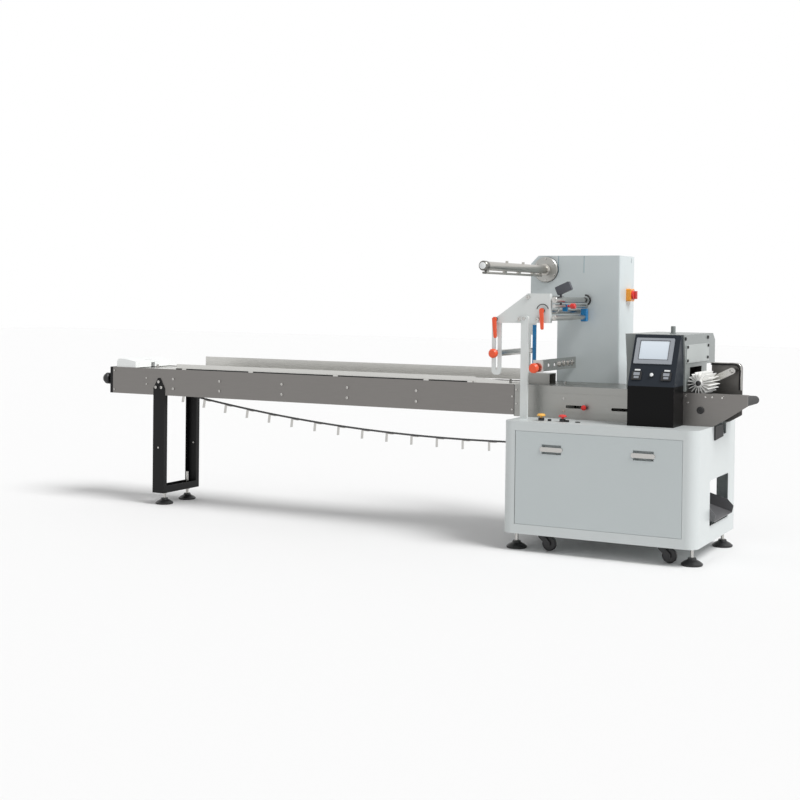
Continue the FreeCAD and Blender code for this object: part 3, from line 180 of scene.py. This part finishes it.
def two_zone(name, test, first, second, rough=(0.4, 0.3), metal=(0.0, 1.0)):
    """One material with two zones; test takes the finish and returns 1 where the second zone starts."""
    f = Finish(name)
    zone = test(f)
    cloud = f.noise(30.0, 2.0)
    color = f.mix(zone, first, second)
    uneven = f.mix(cloud * 0.3, color, (0.0, 0.0, 0.0))
    shine = metal[0] if metal[0] == metal[1] else zone * (metal[1] - metal[0]) + metal[0]
    return f.close(color=f.mix(0.25, color, uneven), rough=zone * (rough[1] - rough[0]) + rough[0], metal=shine)


STEEL = (0.56, 0.55, 0.53)
WARM_STEEL = (0.235, 0.225, 0.215)
BLACK = (0.012, 0.012, 0.013)
ORANGE = (0.86, 0.10, 0.03)


def slate_finish():
    """Dark slate paint on the console's sloped head, and black paint below its knee."""
    f = Finish("slate_paint")
    _, _, _, z = f.place()
    peel = f.noise(700.0, 1.0)
    color = f.mix(z > 0.820, (0.0012, 0.0012, 0.0014), (0.021, 0.026, 0.034))
    return f.close(color=color, rough=0.38, spec=0.14, normal=f.bump(peel, 0.08))


mats = {
    "cabinet": paint("cabinet_paint", (0.60, 0.635, 0.635)),
    "panel": paint("panel_paint", (0.53, 0.575, 0.58)),
    "tower": paint("tower_paint", (0.62, 0.68, 0.69), 0.38, 900.0, 0.25),
    "plate": paint("plate_paint", (0.70, 0.73, 0.72), 0.40),
    "black_paint": paint("black_paint", (0.004, 0.004, 0.0045), 0.5, 900.0, 0.0, 0.08, 0.25),
    "slate": slate_finish(),
    "conveyor": brushed("conveyor_sheet", WARM_STEEL, "x", 0.40),
    "stainless": brushed("stainless_sheet", (0.34, 0.34, 0.325), "x", 0.36),
    "chute": paint("chute_paint", (0.12, 0.12, 0.125), 0.4),
    "groove": plastic("groove_blue", (0.20, 0.42, 0.52), 0.5),
    "cover": paint("cover_paint", (0.40, 0.43, 0.42)),
    "rail": brushed("rail_sheet", (0.66, 0.655, 0.63), "x", 0.30),
    "bright": brushed("bright_steel", STEEL, "y", 0.20),
    "turned": brushed("turned_steel", (0.52, 0.51, 0.48), "y", 0.30),
    "dark_steel": brushed("chain_steel", (0.10, 0.10, 0.10), "x", 0.45),
    "black": plastic("black_plastic", BLACK, 0.38),
    "white": plastic("white_plastic", (0.84, 0.86, 0.85), 0.45),
    "brush": plastic("brush_vanes", (0.96, 0.96, 0.94), 0.6),
    "blue": plastic("blue_plastic", (0.008, 0.19, 0.45), 0.35, 0.1),
    "orange": plastic("orange_plastic", ORANGE, 0.30, 0.4),
    "red": plastic("red_plastic", (0.70, 0.025, 0.02), 0.25, 0.5),
    "yellow": plastic("yellow_plastic", (0.90, 0.48, 0.08), 0.32, 0.3),
    "switch_yellow": plastic("switch_yellow", (0.95, 0.36, 0.02), 0.32, 0.3),
    "grey_plastic": plastic("grey_plastic", (0.30, 0.32, 0.35), 0.42),
    "sensor": plastic("sensor_grey", (0.085, 0.09, 0.105), 0.45),
    "label": plastic("label_white", (0.80, 0.82, 0.82), 0.5),
    "rubber": plastic("belt_rubber", (0.028, 0.028, 0.028), 0.7),
    "seal": plastic("black_seal", (0.006, 0.006, 0.006), 0.8),
}


def glass_finish():
    f = Finish("screen_glass")
    _, _, _, z = f.place()
    # Painted reflection and glow: the screen colour grows lighter towards its top, and the same colour feeds a faint
    # emission although the screen is no lamp.
    glow = f.mix((z - 0.94) * 9.0, (0.50, 0.56, 0.62), (0.62, 0.68, 0.74))
    return f.close(color=glow, rough=0.08, coat=1.0, coat_rough=0.03, glow=glow, glow_level=0.20)


def above(limit, axis=3):
    return lambda f: f.place()[axis] > limit


mats["screen"] = glass_finish()
mats["feet"] = two_zone("foot_pad_and_stem", above(0.0362), BLACK, STEEL, (0.42, 0.25))
mats["idler"] = two_zone("idler_knob_and_roller", above(at(0, 137, 0).y, 2), ORANGE, STEEL, (0.3, 0.24))
mats["slot_knob"] = two_zone("ball_and_stem", above(at(0, 237, 0).y, 2), (0.72, 0.02, 0.015), BLACK, (0.22, 0.5), (0.0, 0.0))
mats["bar_knob"] = two_zone("knob_and_pin", above(at(0, 110.5, 0).y, 2), ORANGE, STEEL, (0.3, 0.25))
mats["lever"] = two_zone("lever_and_hub", above(at(0, 148.4, 0).y, 2), ORANGE, BLACK, (0.3, 0.45), (0.0, 0.0))
mats["flange"] = two_zone("flange_and_rim", above(at(0, 618.5, 0).y, 2), (0.42, 0.42, 0.40), (0.02, 0.02, 0.02), (0.32, 0.5),
                          (0.9, 0.0))
mats["spindle"] = two_zone("spindle_and_collar", lambda f: f.place()[2] < at(0, -146, 0).y, (0.50, 0.485, 0.45),
                           (0.20, 0.195, 0.18), (0.30, 0.35), (1.0, 1.0))


def housing_finish():
    """Grey paint outside, and near black inside the product tunnel as painted shade."""
    f = Finish("housing_paint")
    _, _, y, z = f.place()
    # Painted shade: the box inside the product tunnel is coloured near black for the shade in that recess.
    inside = (z < 0.9045) * (y > at(0, 328.5, 0).y) * (y < at(0, 535.5, 0).y)
    peel = f.noise(900.0, 1.0)
    color = f.mix(inside, (0.235, 0.255, 0.25), (0.006, 0.006, 0.006))
    return f.close(color=color, rough=0.42, coat=0.1, normal=f.bump(peel, 0.05))


mats["housing"] = housing_finish()
print("finishes:", len(mats))

# %% Give every CAD node its finish
node_finish = {
    "cabinet_body": "cabinet", "cabinet_right_wall": "cabinet", "cabinet_front_frame": "cabinet", "cabinet_front_panel": "panel",
    "panel_handles": "bright", "cabinet_deck": "cabinet", "drive_cover": "black_paint", "scrap_chute": "chute",
    "levelling_feet": "feet", "caster_fork_left": "black", "caster_fork_right": "black", "caster_wheel_left": "black",
    "caster_wheel_right": "black", "conveyor_side_plates": "conveyor", "conveyor_trough": "rail", "tail_end_plate": "black_paint",
    "tail_nose": "white", "tension_knob": "black", "guide_rails": "rail", "leg_frame": "black_paint", "pusher_chain": "dark_steel",
    "pusher_lugs": "bright", "chain_sprockets": "dark_steel", "bed_front_plate": "stainless", "bed_table": "stainless",
    "slot_knob": "slot_knob", "front_post": "plate", "forming_plate": "plate", "slotted_arms": "plate", "lower_idler": "idler",
    "clamp_lever_left": "lever", "clamp_lever_right": "lever", "roller_upper": "bright", "roller_lower": "turned",
    "tower_rods": "bright", "sensor_box": "sensor", "blue_fittings": "blue", "adjusting_bar": "bright", "bar_knob": "bar_knob",
    "forming_box": "stainless", "tower_body": "tower", "spindle_flange": "flange", "film_spindle": "spindle",
    "switch_plate": "switch_yellow", "main_switch": "red", "console_body": "slate", "screen_bezel": "grey_plastic",
    "screen_glass": "screen", "console_switches": "black", "end_seal_housing": "housing", "end_seal_cover": "cover",
    "discharge_front_plate": "conveyor", "discharge_rear_plate": "conveyor", "discharge_belt": "rubber", "discharge_rollers": "black",
    "brush_roller": "brush", "brush_arm": "bright", "yellow_button": "yellow", "red_button": "red", "deck_buttons": "black",
}
for node_name, node_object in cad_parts.items():
    node_object.data.materials.clear()
    node_object.data.materials.append(mats[node_finish[node_name]])
print("CAD nodes dressed:", len(node_finish))

# %% [markdown]
# ## Modelling helpers
# Each small piece starts from a primitive and is shaped in edit mode.  `pick` selects faces by a rule after clearing
# the selection.  `scatter` copies a finished piece to many places, each copy with its own mesh, and joins them.

# %% Helpers for pieces
def edit(obj):
    bpy.context.view_layer.objects.active = obj
    obj.select_set(True)
    bpy.ops.object.mode_set(mode="EDIT")
    bpy.ops.mesh.select_all(action="DESELECT")


def leave():
    bpy.ops.object.mode_set(mode="OBJECT")
    bpy.ops.object.select_all(action="DESELECT")


def pick(obj, rule):
    bpy.ops.mesh.select_all(action="DESELECT")
    bpy.ops.mesh.select_mode(type="FACE")
    bpy.ops.object.mode_set(mode="OBJECT")
    for face in obj.data.polygons:
        face.select = rule(face.center, face.normal)
    bpy.ops.object.mode_set(mode="EDIT")


def settle(obj):
    """Applies place, turn and size, and recomputes outward faces."""
    bpy.ops.object.select_all(action="DESELECT")
    bpy.context.view_layer.objects.active = obj
    obj.select_set(True)
    bpy.ops.object.transform_apply(location=True, rotation=True, scale=True)
    bpy.ops.object.mode_set(mode="EDIT")
    bpy.ops.mesh.select_all(action="SELECT")
    bpy.ops.mesh.normals_make_consistent(inside=False)
    leave()
    return obj


def dress(obj, name, finish, body="machine"):
    obj.name = name
    obj.data.name = name
    obj.data.materials.clear()
    obj.data.materials.append(mats[finish])
    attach(obj, body)
    return obj


def aim(direction):
    return Vector((0, 0, 1)).rotation_difference(Vector(direction)).to_matrix().to_4x4()


def scatter(source, places):
    """Joins copies of a piece, each with its own mesh, at the given matrices."""
    copies = []
    for matrix in places:
        copy = source.copy()
        copy.data = source.data.copy()
        copy.data.transform(matrix)
        bpy.context.scene.collection.objects.link(copy)
        copies.append(copy)
    bpy.data.objects.remove(source, do_unlink=True)
    bpy.ops.object.select_all(action="DESELECT")
    for copy in copies:
        copy.select_set(True)
    bpy.context.view_layer.objects.active = copies[0]
    if len(copies) > 1:
        bpy.ops.object.join()
    return bpy.context.view_layer.objects.active


def spots(points, direction):
    return [Matrix.Translation(at(*p)) @ aim(direction) for p in points]


def cap_screw(radius, height, socket=0.5):
    """A socket-head screw: a cylinder whose top is inset, sunk and edged."""
    bpy.ops.mesh.primitive_cylinder_add(vertices=18, radius=radius, depth=height, location=(0, 0, height / 2))
    obj = bpy.context.active_object
    settle(obj)
    edit(obj)
    pick(obj, lambda c, n: n.z > 0.9)
    bpy.ops.mesh.inset(thickness=radius * 0.12, depth=height * 0.12)
    bpy.ops.mesh.inset(thickness=radius * (0.88 - socket), depth=0)
    bpy.ops.mesh.extrude_region_move(TRANSFORM_OT_translate={"value": (0, 0, -height * 0.5)})
    leave()
    return obj


def dome(radius, height):
    """A low round head: a cylinder with its top inset twice and lifted."""
    bpy.ops.mesh.primitive_cylinder_add(vertices=20, radius=radius, depth=height, location=(0, 0, height / 2))
    obj = bpy.context.active_object
    settle(obj)
    edit(obj)
    pick(obj, lambda c, n: n.z > 0.9)
    bpy.ops.mesh.inset(thickness=radius * 0.3, depth=height * 0.45)
    bpy.ops.mesh.inset(thickness=radius * 0.35, depth=height * 0.2)
    leave()
    return obj


def bar(x0, x1, y0, y1, z0, z1, edge=0.0008):
    """A strip or plate with softened edges, given by its faces in the machine's millimetres."""
    low, high = at(x0, y0, z0), at(x1, y1, z1)
    bpy.ops.mesh.primitive_cube_add(size=1, location=(low + high) / 2)
    obj = bpy.context.active_object
    obj.scale = high - low
    settle(obj)
    edit(obj)
    bpy.ops.mesh.select_all(action="SELECT")
    bpy.ops.mesh.bevel(offset=min(edge, min(high - low) * 0.3), segments=2, affect="EDGES")
    leave()
    return obj


def wire_run(points, radius):
    """A smooth round wire through points in the machine's millimetres."""
    bpy.ops.curve.primitive_bezier_curve_add()
    obj = bpy.context.active_object
    spline = obj.data.splines[0]
    spline.bezier_points.add(len(points) - 2)
    for point, knot in zip(points, spline.bezier_points):
        knot.co = at(*point)
        knot.handle_left_type = "AUTO"
        knot.handle_right_type = "AUTO"
    obj.location = (0, 0, 0)
    obj.data.dimensions = "3D"
    obj.data.bevel_depth = radius
    obj.data.bevel_resolution = 3
    obj.data.resolution_u = 10
    obj.data.use_fill_caps = True
    bpy.ops.object.convert(target="MESH")
    return settle(bpy.context.active_object)


def joined(pieces):
    bpy.ops.object.select_all(action="DESELECT")
    for piece in pieces:
        piece.select_set(True)
    bpy.context.view_layer.objects.active = pieces[0]
    if len(pieces) > 1:
        bpy.ops.object.join()
    return bpy.context.view_layer.objects.active


print("helpers ready")

# %% [markdown]
# ## The pusher chain
# The chain is real roller chain of 12.7 mm pitch: pairs of waisted plates on rollers, following the same loop as the
# CAD band.  The loop is a level strand, the head and drive sprockets, a catenary and the tail sprocket.

# %% The loop's path
PITCH = 12.7
STRAND_Z, HEAD_X, TAIL_X = 754.0, -300.0, -2990.0
SAG_X, SAG_Z, SAG_R = -850.0, 477.0, 10400.0
head_r = PITCH / 2 / math.sin(math.pi / 18)
tail_r = PITCH / 2 / math.sin(math.pi / 15)
head_z, tail_z = STRAND_Z - head_r, STRAND_Z - tail_r
chain_y = 414.0


def sag(x):
    return SAG_Z + SAG_R * (math.cosh((x - SAG_X) / SAG_R) - 1)


def sag_angle(x):
    return math.atan(math.sinh((x - SAG_X) / SAG_R))


turn_right = sag_angle(HEAD_X)
sag_right = HEAD_X + head_r * math.sin(turn_right)
drive_z = sag(sag_right) + head_r * math.cos(turn_right)
turn_left = sag_angle(TAIL_X)
sag_left = TAIL_X + tail_r * math.sin(turn_left)
tail_gap = (tail_z - tail_r * math.cos(turn_left)) - sag(sag_left)
path = [(TAIL_X + (HEAD_X - TAIL_X) * i / 600, STRAND_Z) for i in range(600)]
path += [(HEAD_X + head_r * math.cos(a), head_z + head_r * math.sin(a)) for a in (math.radians(90 - 1.5 * i) for i in range(60))]
path += [(HEAD_X + head_r, head_z + (drive_z - head_z) * i / 40) for i in range(40)]
path += [(HEAD_X + head_r * math.cos(a), drive_z + head_r * math.sin(a))
         for a in (-(math.pi / 2 - turn_right) * i / 60 for i in range(60))]
for i in range(600):
    px = sag_right + (sag_left - sag_right) * i / 600
    share = max(0.0, (SAG_X - px) / (SAG_X - sag_left))
    path.append((px, sag(px) + tail_gap * share ** 3))
low = math.atan2(sag(sag_left) + tail_gap - tail_z, sag_left - TAIL_X)
path += [(TAIL_X + tail_r * math.cos(a), tail_z + tail_r * math.sin(a))
         for a in (low + (-1.5 * math.pi - low) * i / 120 for i in range(120))]
steps = [0.0]
for (ax, az), (bx, bz) in zip(path, path[1:] + path[:1]):
    steps.append(steps[-1] + math.hypot(bx - ax, bz - az))
link_count = 2 * round(steps[-1] / PITCH / 2)
link_run = steps[-1] / link_count


def along(distance):
    distance %= steps[-1]
    low_i, high_i = 0, len(steps) - 1
    while high_i - low_i > 1:
        mid = (low_i + high_i) // 2
        low_i, high_i = (mid, high_i) if steps[mid] <= distance else (low_i, mid)
    share = (distance - steps[low_i]) / (steps[low_i + 1] - steps[low_i])
    (ax, az), (bx, bz) = path[low_i], path[(low_i + 1) % len(path)]
    return ax + (bx - ax) * share, az + (bz - az) * share


print("chain loop", round(steps[-1]), "mm,", link_count, "links")

# %% The links
def link_plate(y_mm, thick):
    """One waisted link plate: two round ends drawn together, pushed to its thickness."""
    bpy.ops.mesh.primitive_circle_add(vertices=14, radius=0.0052, fill_type="NGON", rotation=(math.pi / 2, 0, 0))
    obj = bpy.context.active_object
    settle(obj)
    for vertex in obj.data.vertices:
        vertex.co.x += 0.00635 if vertex.co.x > 0 else -0.00635
        if abs(vertex.co.x) < 0.0066:
            vertex.co.z *= 0.72
    obj.location = (0, y_mm / 1000, 0)
    edit(obj)
    bpy.ops.mesh.select_all(action="SELECT")
    bpy.ops.mesh.extrude_region_move(TRANSFORM_OT_translate={"value": (0, thick / 1000, 0)})
    leave()
    return settle(obj)


def chain_link(half_width):
    plates = [link_plate(half_width, 1.4), link_plate(-half_width - 1.4, 1.4)]
    bpy.ops.mesh.primitive_cylinder_add(vertices=10, radius=0.0040, depth=0.0118, location=(-0.00635, 0, 0),
                                        rotation=(math.pi / 2, 0, 0))
    plates.append(settle(bpy.context.active_object))
    return joined(plates)


def link_matrices(first):
    out = []
    for i in range(first, link_count, 2):
        ax, az = along(i * link_run)
        bx, bz = along((i + 1) * link_run)
        turn = Matrix.Rotation(-math.atan2(bz - az, bx - ax), 4, "Y")
        out.append(Matrix.Translation(at((ax + bx) / 2, chain_y, (az + bz) / 2)) @ turn)
    return out


inner_links = scatter(chain_link(4.2), link_matrices(0))
outer_links = scatter(chain_link(5.6), link_matrices(1))
chain = dress(joined([inner_links, outer_links]), "roller_chain", "dark_steel")
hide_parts("pusher_chain")
print("chain faces", len(chain.data.polygons))

# %% [markdown]
# ## Screws
# Socket-head and round-head screws hold the side plates, the leg, the forming plate, the flange and the covers.

# %% Screws by place
tie_xs = [-2340.5 + 418.1 * i for i in range(4)] + [-2665.0]
side_points = [(x, 249, z) for x in tie_xs for z in (680.0, 735.6)]
back_points = [(x, 579, z) for x in tie_xs for z in (680.0, 735.6)]
conveyor_screws = joined([scatter(cap_screw(0.0072, 0.0052), spots(side_points, (0, -1, 0))),
                          scatter(cap_screw(0.0072, 0.0052), spots(back_points, (0, 1, 0)))])
dress(conveyor_screws, "conveyor_screws", "bright")
small_points = [(-2858, 249, 700), (-2858, 249, 735), (-3096, 249, 771), (-3096, 249, 660), (-519, 249, 765), (-519, 249, 695),
                (-541, 249, 730), (-541, 249, 664), (-263, 249, 732), (-263, 249, 668), (450, 249, 771), (482, 249, 771),
                (529, 249, 770), (352, 249, 772), (364, 249, 741)]
dress(scatter(cap_screw(0.0048, 0.004), spots(small_points, (0, -1, 0))), "plate_screws", "bright")
leg_points = [(-2766, 245, 716), (-2786, 245, 684), (-2746, 245, 684)]
leg_back = [(x, 583, z) for x, _, z in leg_points]
leg_screws = joined([scatter(cap_screw(0.0085, 0.006), spots(leg_points, (0, -1, 0))),
                     scatter(cap_screw(0.0085, 0.006), spots(leg_back, (0, 1, 0))),
                     scatter(dome(0.0055, 0.003), spots([(-2766, 245, 334)], (0, -1, 0))),
                     scatter(dome(0.0055, 0.003), spots([(-2766, 579, 334)], (0, -1, 0)))])
dress(leg_screws, "leg_screws", "bright")
form_points = [(-423, 159, 1232), (-467, 159, 1123), (-372, 159, 1123)]
form_screws = joined([scatter(cap_screw(0.0105, 0.008), spots(form_points, (0, -1, 0))),
                      scatter(cap_screw(0.008, 0.007), spots([(-440, 147, 1126)], (0, -1, 0)))])
dress(form_screws, "forming_plate_screws", "bright")
ring = [(-518 + 56 * math.cos(math.radians(60 * i + 30)), 614, 1379 + 56 * math.sin(math.radians(60 * i + 30))) for i in range(6)]
dress(scatter(cap_screw(0.0052, 0.0045), spots(ring, (0, -1, 0))), "flange_screws", "bright")
cover_points = [(354, 636, 1003), (354, 628, 944), (354, 270, 1003), (354, 270, 938)]
wall_points = [(350, 640, 1043), (350, 240, 1043)]
cover_screws = joined([scatter(cap_screw(0.0075, 0.005), spots(cover_points, (1, 0, 0))),
                       scatter(cap_screw(0.0085, 0.006), spots(wall_points, (1, 0, 0)))])
dress(cover_screws, "housing_screws", "black")
plate_points = [(-86, 763 + a, 1250 + b) for a in (-26, 26) for b in (-26, 26)]
dress(scatter(dome(0.0035, 0.0016), spots(plate_points, (1, 0, 0))), "switch_screws", "bright")
print("screws placed")

# %% [markdown]
# ## Seals, seams and strips
# Black strips under the guide rails are painted shadow in the gap between rail and side plate; a dark seal runs round
# the discharge guard and down the bed joint.

# %% Strips and seals
# Painted shadow: these black strips stand for the shade in the gap under the guide rails, between the rail clips.
strips = []
clip_edges = [-2650, -2605, -2575, -2146, -2116, -1596, -1566, -1046, -1016, -794, -764, -749]
for left, right in zip(clip_edges[0::1], clip_edges[1::1]):
    if right - left > 31:
        strips.append(bar(left + 1, right - 1, 250, 257, 792, 797.5, 0.0006))
strips.append(bar(-745, -570, 255, 262, 792, 801, 0.0012))
dress(joined(strips), "painted_rail_shadow_strips", "seal")
seam = joined([bar(-531.2, -528.8, 248.2, 249, 634, 790, 0.0003), bar(-415.6, -413.8, -0.5, 0, 133, 586, 0.0002)])
dress(seam, "bed_joint_seal", "seal")
rim = [(393, 548.5, 920), (470, 548.5, 920), (517, 548.5, 920), (530, 548.5, 916.5), (539, 548.5, 908), (543, 548.5, 894),
       (543, 548.5, 850), (543, 548.5, 790)]
dress(wire_run(rim, 0.0030), "guard_rim", "bright")
inner = [(x - (7 if x > 500 else 0), 548.5, z - (7 if z > 900 else 0)) for x, _, z in rim]
dress(wire_run(inner, 0.0032), "guard_seal", "seal")
folds = joined([bar(-528, 116, 247.6, 249, 756.4, 757.8, 0.0003), bar(-528, 116, 247.6, 249, 663.4, 664.8, 0.0003)])
dress(folds, "bed_fold_lines", "stainless")
grooves = joined([bar(x - 1.2, x + 1.2, 631.6, 633.4, 1363, 1451, 0.0003) for x in (-450, -308)])
dress(grooves, "tower_groove_strips", "groove")
print("strips and seals placed")

# %% [markdown]
# ## Forming station details
# A dark scale arc round the right lever, a wire hook and the sensor's red clamp screw.

# %% Scale arc, hook and clamp screw
arc = []
for i in range(15):
    a = math.radians(165 - 150 * i / 14)
    arc.append((-346 + 31 * math.cos(a), 157.2, 1167 + 31 * math.sin(a)))
dress(wire_run(arc, 0.0018), "lever_scale_arc", "seal")
hook = [(-322, 300, 1172), (-318, 296, 1180), (-312, 286, 1184), (-306, 276, 1178), (-306, 270, 1166), (-312, 262, 1156), (-322, 258, 1152)]
dress(wire_run(hook, 0.0022), "film_hook", "bright")
hub_clamp = [(-290 + 26 * math.cos(math.radians(a)), 612, 1220 + 26 * math.sin(math.radians(a))) for a in range(-60, 100, 12)]
dress(wire_run(hub_clamp, 0.005), "hub_clamp", "black")
bpy.ops.mesh.primitive_cylinder_add(vertices=24, radius=0.014, depth=0.020, location=(0, 0, 0.028))
knob = settle(bpy.context.active_object)
edit(knob)
pick(knob, lambda c, n: n.z > 0.9)
bpy.ops.mesh.inset(thickness=0.003, depth=0.003)
bpy.ops.mesh.inset(thickness=0.005, depth=-0.002)
pick(knob, lambda c, n: n.z < -0.9)
bpy.ops.mesh.inset(thickness=0.009, depth=0)
bpy.ops.mesh.extrude_region_move(TRANSFORM_OT_translate={"value": (0, 0, -0.018)})
leave()
clamp_knob = scatter(knob, [Matrix.Translation(at(-278, 324, 1190)) @ aim((1, 0, 0))])
dress(clamp_knob, "sensor_clamp_knob", "red")
fitting = cap_screw(0.0135, 0.009, 0.45)
fitting_spots = spots([(-345.5, y, 895) for y in (400, 460, 520, 575)], (1, 0, 0))
dress(scatter(fitting, fitting_spots), "bar_fittings", "bright")
print("forming details placed")

# %% [markdown]
# ## Film bearing block
# A blue block carries the roller ends near the tower, with a sunk panel on the side that faces the console.

# %% Blue bearing block
block_piece = bar(-306, -274, 584, 612, 1110, 1176, 0.003)
edit(block_piece)
pick(block_piece, lambda c, n: n.x > 0.9)
bpy.ops.mesh.inset(thickness=0.006, depth=-0.003)
leave()
dress(block_piece, "roller_bearing_block", "blue")
print("blue pieces placed")

# %% [markdown]
# ## Console details
# The labels and switch caps lie on the console's sloped face.  `on_slope` carries a flat plate onto that face.

# %% Console labels, switch caps and light
tilt = math.atan2(112.0, 240.0)
slope_turn = Matrix.Rotation(-tilt, 4, "X")


def on_slope(x0, x1, up0, up1, out0, out1, edge=0.0008):
    """A plate on the sloped face: x across, up along the slope from the knee, out along its normal (mm)."""
    bpy.ops.mesh.primitive_cube_add(size=1, location=((x0 + x1) / 2000, -(out0 + out1) / 2000, (up0 + up1) / 2000))
    obj = bpy.context.active_object
    obj.scale = ((x1 - x0) / 1000, (out1 - out0) / 1000, (up1 - up0) / 1000)
    settle(obj)
    edit(obj)
    bpy.ops.mesh.select_all(action="SELECT")
    bpy.ops.mesh.bevel(offset=edge, segments=2, affect="EDGES")
    leave()
    obj.data.transform(Matrix.Translation(at(0, 88, 820)) @ slope_turn)
    return obj


labels = [on_slope(x - 14, x + 14, 78, 86, 0.0, 1.0, 0.0003) for x in (156, 300)]
dress(joined(labels), "console_labels", "label")
caps = []
for x in (156, 300):
    caps.append(on_slope(x - 15, x + 15, 52, 67, 6.0, 8.5))
    caps.append(on_slope(x - 12, x + 12, 37, 48, 6.0, 8.0))
dress(joined(caps), "switch_caps", "grey_plastic")
lamp = dome(0.0085, 0.004)
lamp.data.transform(Matrix.Translation(at(230, 88, 820)) @ slope_turn @ Matrix.Translation((0, -0.007, 0.056)) @ aim((0, -1, 0)))
dress(lamp, "console_lamp", "label")
screen_edge = [on_slope(150, 298, 134.5, 136.5, 3.0, 5.6, 0.0005), on_slope(150, 298, 232, 234, 3.0, 5.6, 0.0005),
               on_slope(150.5, 152.5, 136, 232, 3.0, 5.6, 0.0005), on_slope(294, 296, 136, 232, 3.0, 5.6, 0.0005)]
dress(joined(screen_edge), "screen_edge", "seal")
print("console details placed")

# %% [markdown]
# ## Tail cover slot, nose plate, brush cap and spindle cap

# %% Small covers and caps
# Painted shade: a thin black sheet on the tail nose stands for the shade inside its slot.
dress(bar(-3006, -2978, 380, 448, 832, 833.6, 0.0004), "nose_slot_painted_shade", "seal")
cap_places = [Matrix.Translation(at(410, 265, 833)) @ aim((0, -1, 0))]
dress(scatter(dome(0.0125, 0.006), cap_places), "brush_cap", "black", "brush")
dress(scatter(dome(0.016, 0.004), [Matrix.Translation(at(-518, -180, 1379)) @ aim((0, -1, 0))]), "spindle_cap", "label",
      "spindle")
dress(scatter(dome(0.010, 0.003), [Matrix.Translation(at(516, 470, 886)) @ aim((0, -1, 0))]), "arm_pivot_cap", "bright")
print("caps placed")

# %% [markdown]
# ## Floor, light and camera
# A pale floor takes the soft shadow; the surroundings are white to the camera and dimmer as a light source.

# %% Floor and surroundings
bpy.ops.mesh.primitive_plane_add(size=60, location=(0, 0, 0))
floor = bpy.context.active_object
floor.name = "floor"
ground = Finish("pale_floor")
floor.data.materials.append(ground.close(color=(0.86, 0.86, 0.86), rough=0.9))
world = bpy.data.worlds.new("surroundings")
bpy.context.scene.world = world
world.use_nodes = True
tree = world.node_tree
tree.nodes.clear()
rays = tree.nodes.new("ShaderNodeLightPath")
seen = tree.nodes.new("ShaderNodeMath")
seen.operation = "MAXIMUM"
tree.links.new(rays.outputs["Is Camera Ray"], seen.inputs[0])
tree.links.new(rays.outputs["Is Glossy Ray"], seen.inputs[1])
seen_too = tree.nodes.new("ShaderNodeMath")
seen_too.operation = "MAXIMUM"
tree.links.new(seen.outputs[0], seen_too.inputs[0])
tree.links.new(rays.outputs["Is Transmission Ray"], seen_too.inputs[1])
plain = tree.nodes.new("ShaderNodeBackground")
plain.inputs["Color"].default_value = (1, 1, 1, 1)
plain.inputs["Strength"].default_value = 0.48
white = tree.nodes.new("ShaderNodeBackground")
white.inputs["Color"].default_value = (1, 1, 1, 1)
white.inputs["Strength"].default_value = 1.0
blend = tree.nodes.new("ShaderNodeMixShader")
tree.links.new(seen_too.outputs[0], blend.inputs["Fac"])
tree.links.new(plain.outputs[0], blend.inputs[1])
tree.links.new(white.outputs[0], blend.inputs[2])
out = tree.nodes.new("ShaderNodeOutputWorld")
tree.links.new(blend.outputs[0], out.inputs["Surface"])
print("surroundings ready")

# %% Lamp
sun_data = bpy.data.lights.new("soft_sun", "SUN")
sun_data.energy = 2.6
sun_data.angle = math.radians(28)
sun = bpy.data.objects.new("soft_sun", sun_data)
bpy.context.scene.collection.objects.link(sun)
sun.rotation_euler = Vector((-0.62, 0.12, -0.77)).to_track_quat("-Z", "Y").to_euler()
print("lamp placed")

# %% Camera
YAW, PITCH_DOWN, ROLL = math.radians(26.64), math.radians(0.95), math.radians(0.71)
side = Vector((math.cos(YAW), math.sin(YAW), 0))
forward = Vector((-math.sin(YAW) * math.cos(PITCH_DOWN), math.cos(YAW) * math.cos(PITCH_DOWN), -math.sin(PITCH_DOWN)))
upward = side.cross(forward)
right = side * math.cos(ROLL) + upward * math.sin(ROLL)
top = upward * math.cos(ROLL) - side * math.sin(ROLL)
camera_data = bpy.data.cameras.new("camera")
camera_data.sensor_width = 36.0
camera_data.lens = 60.05
camera_data.shift_x = -0.0426
camera_data.shift_y = -0.1008
camera_data.clip_end = 200
camera = bpy.data.objects.new("camera", camera_data)
bpy.context.scene.collection.objects.link(camera)
turned = Matrix((right, top, -forward)).transposed().to_4x4()
camera.matrix_world = Matrix.Translation(at(2121.4, -5950.6, 1225.9)) @ turned
bpy.context.scene.camera = camera
bpy.context.scene.view_settings.view_transform = "Standard"
print("camera set")
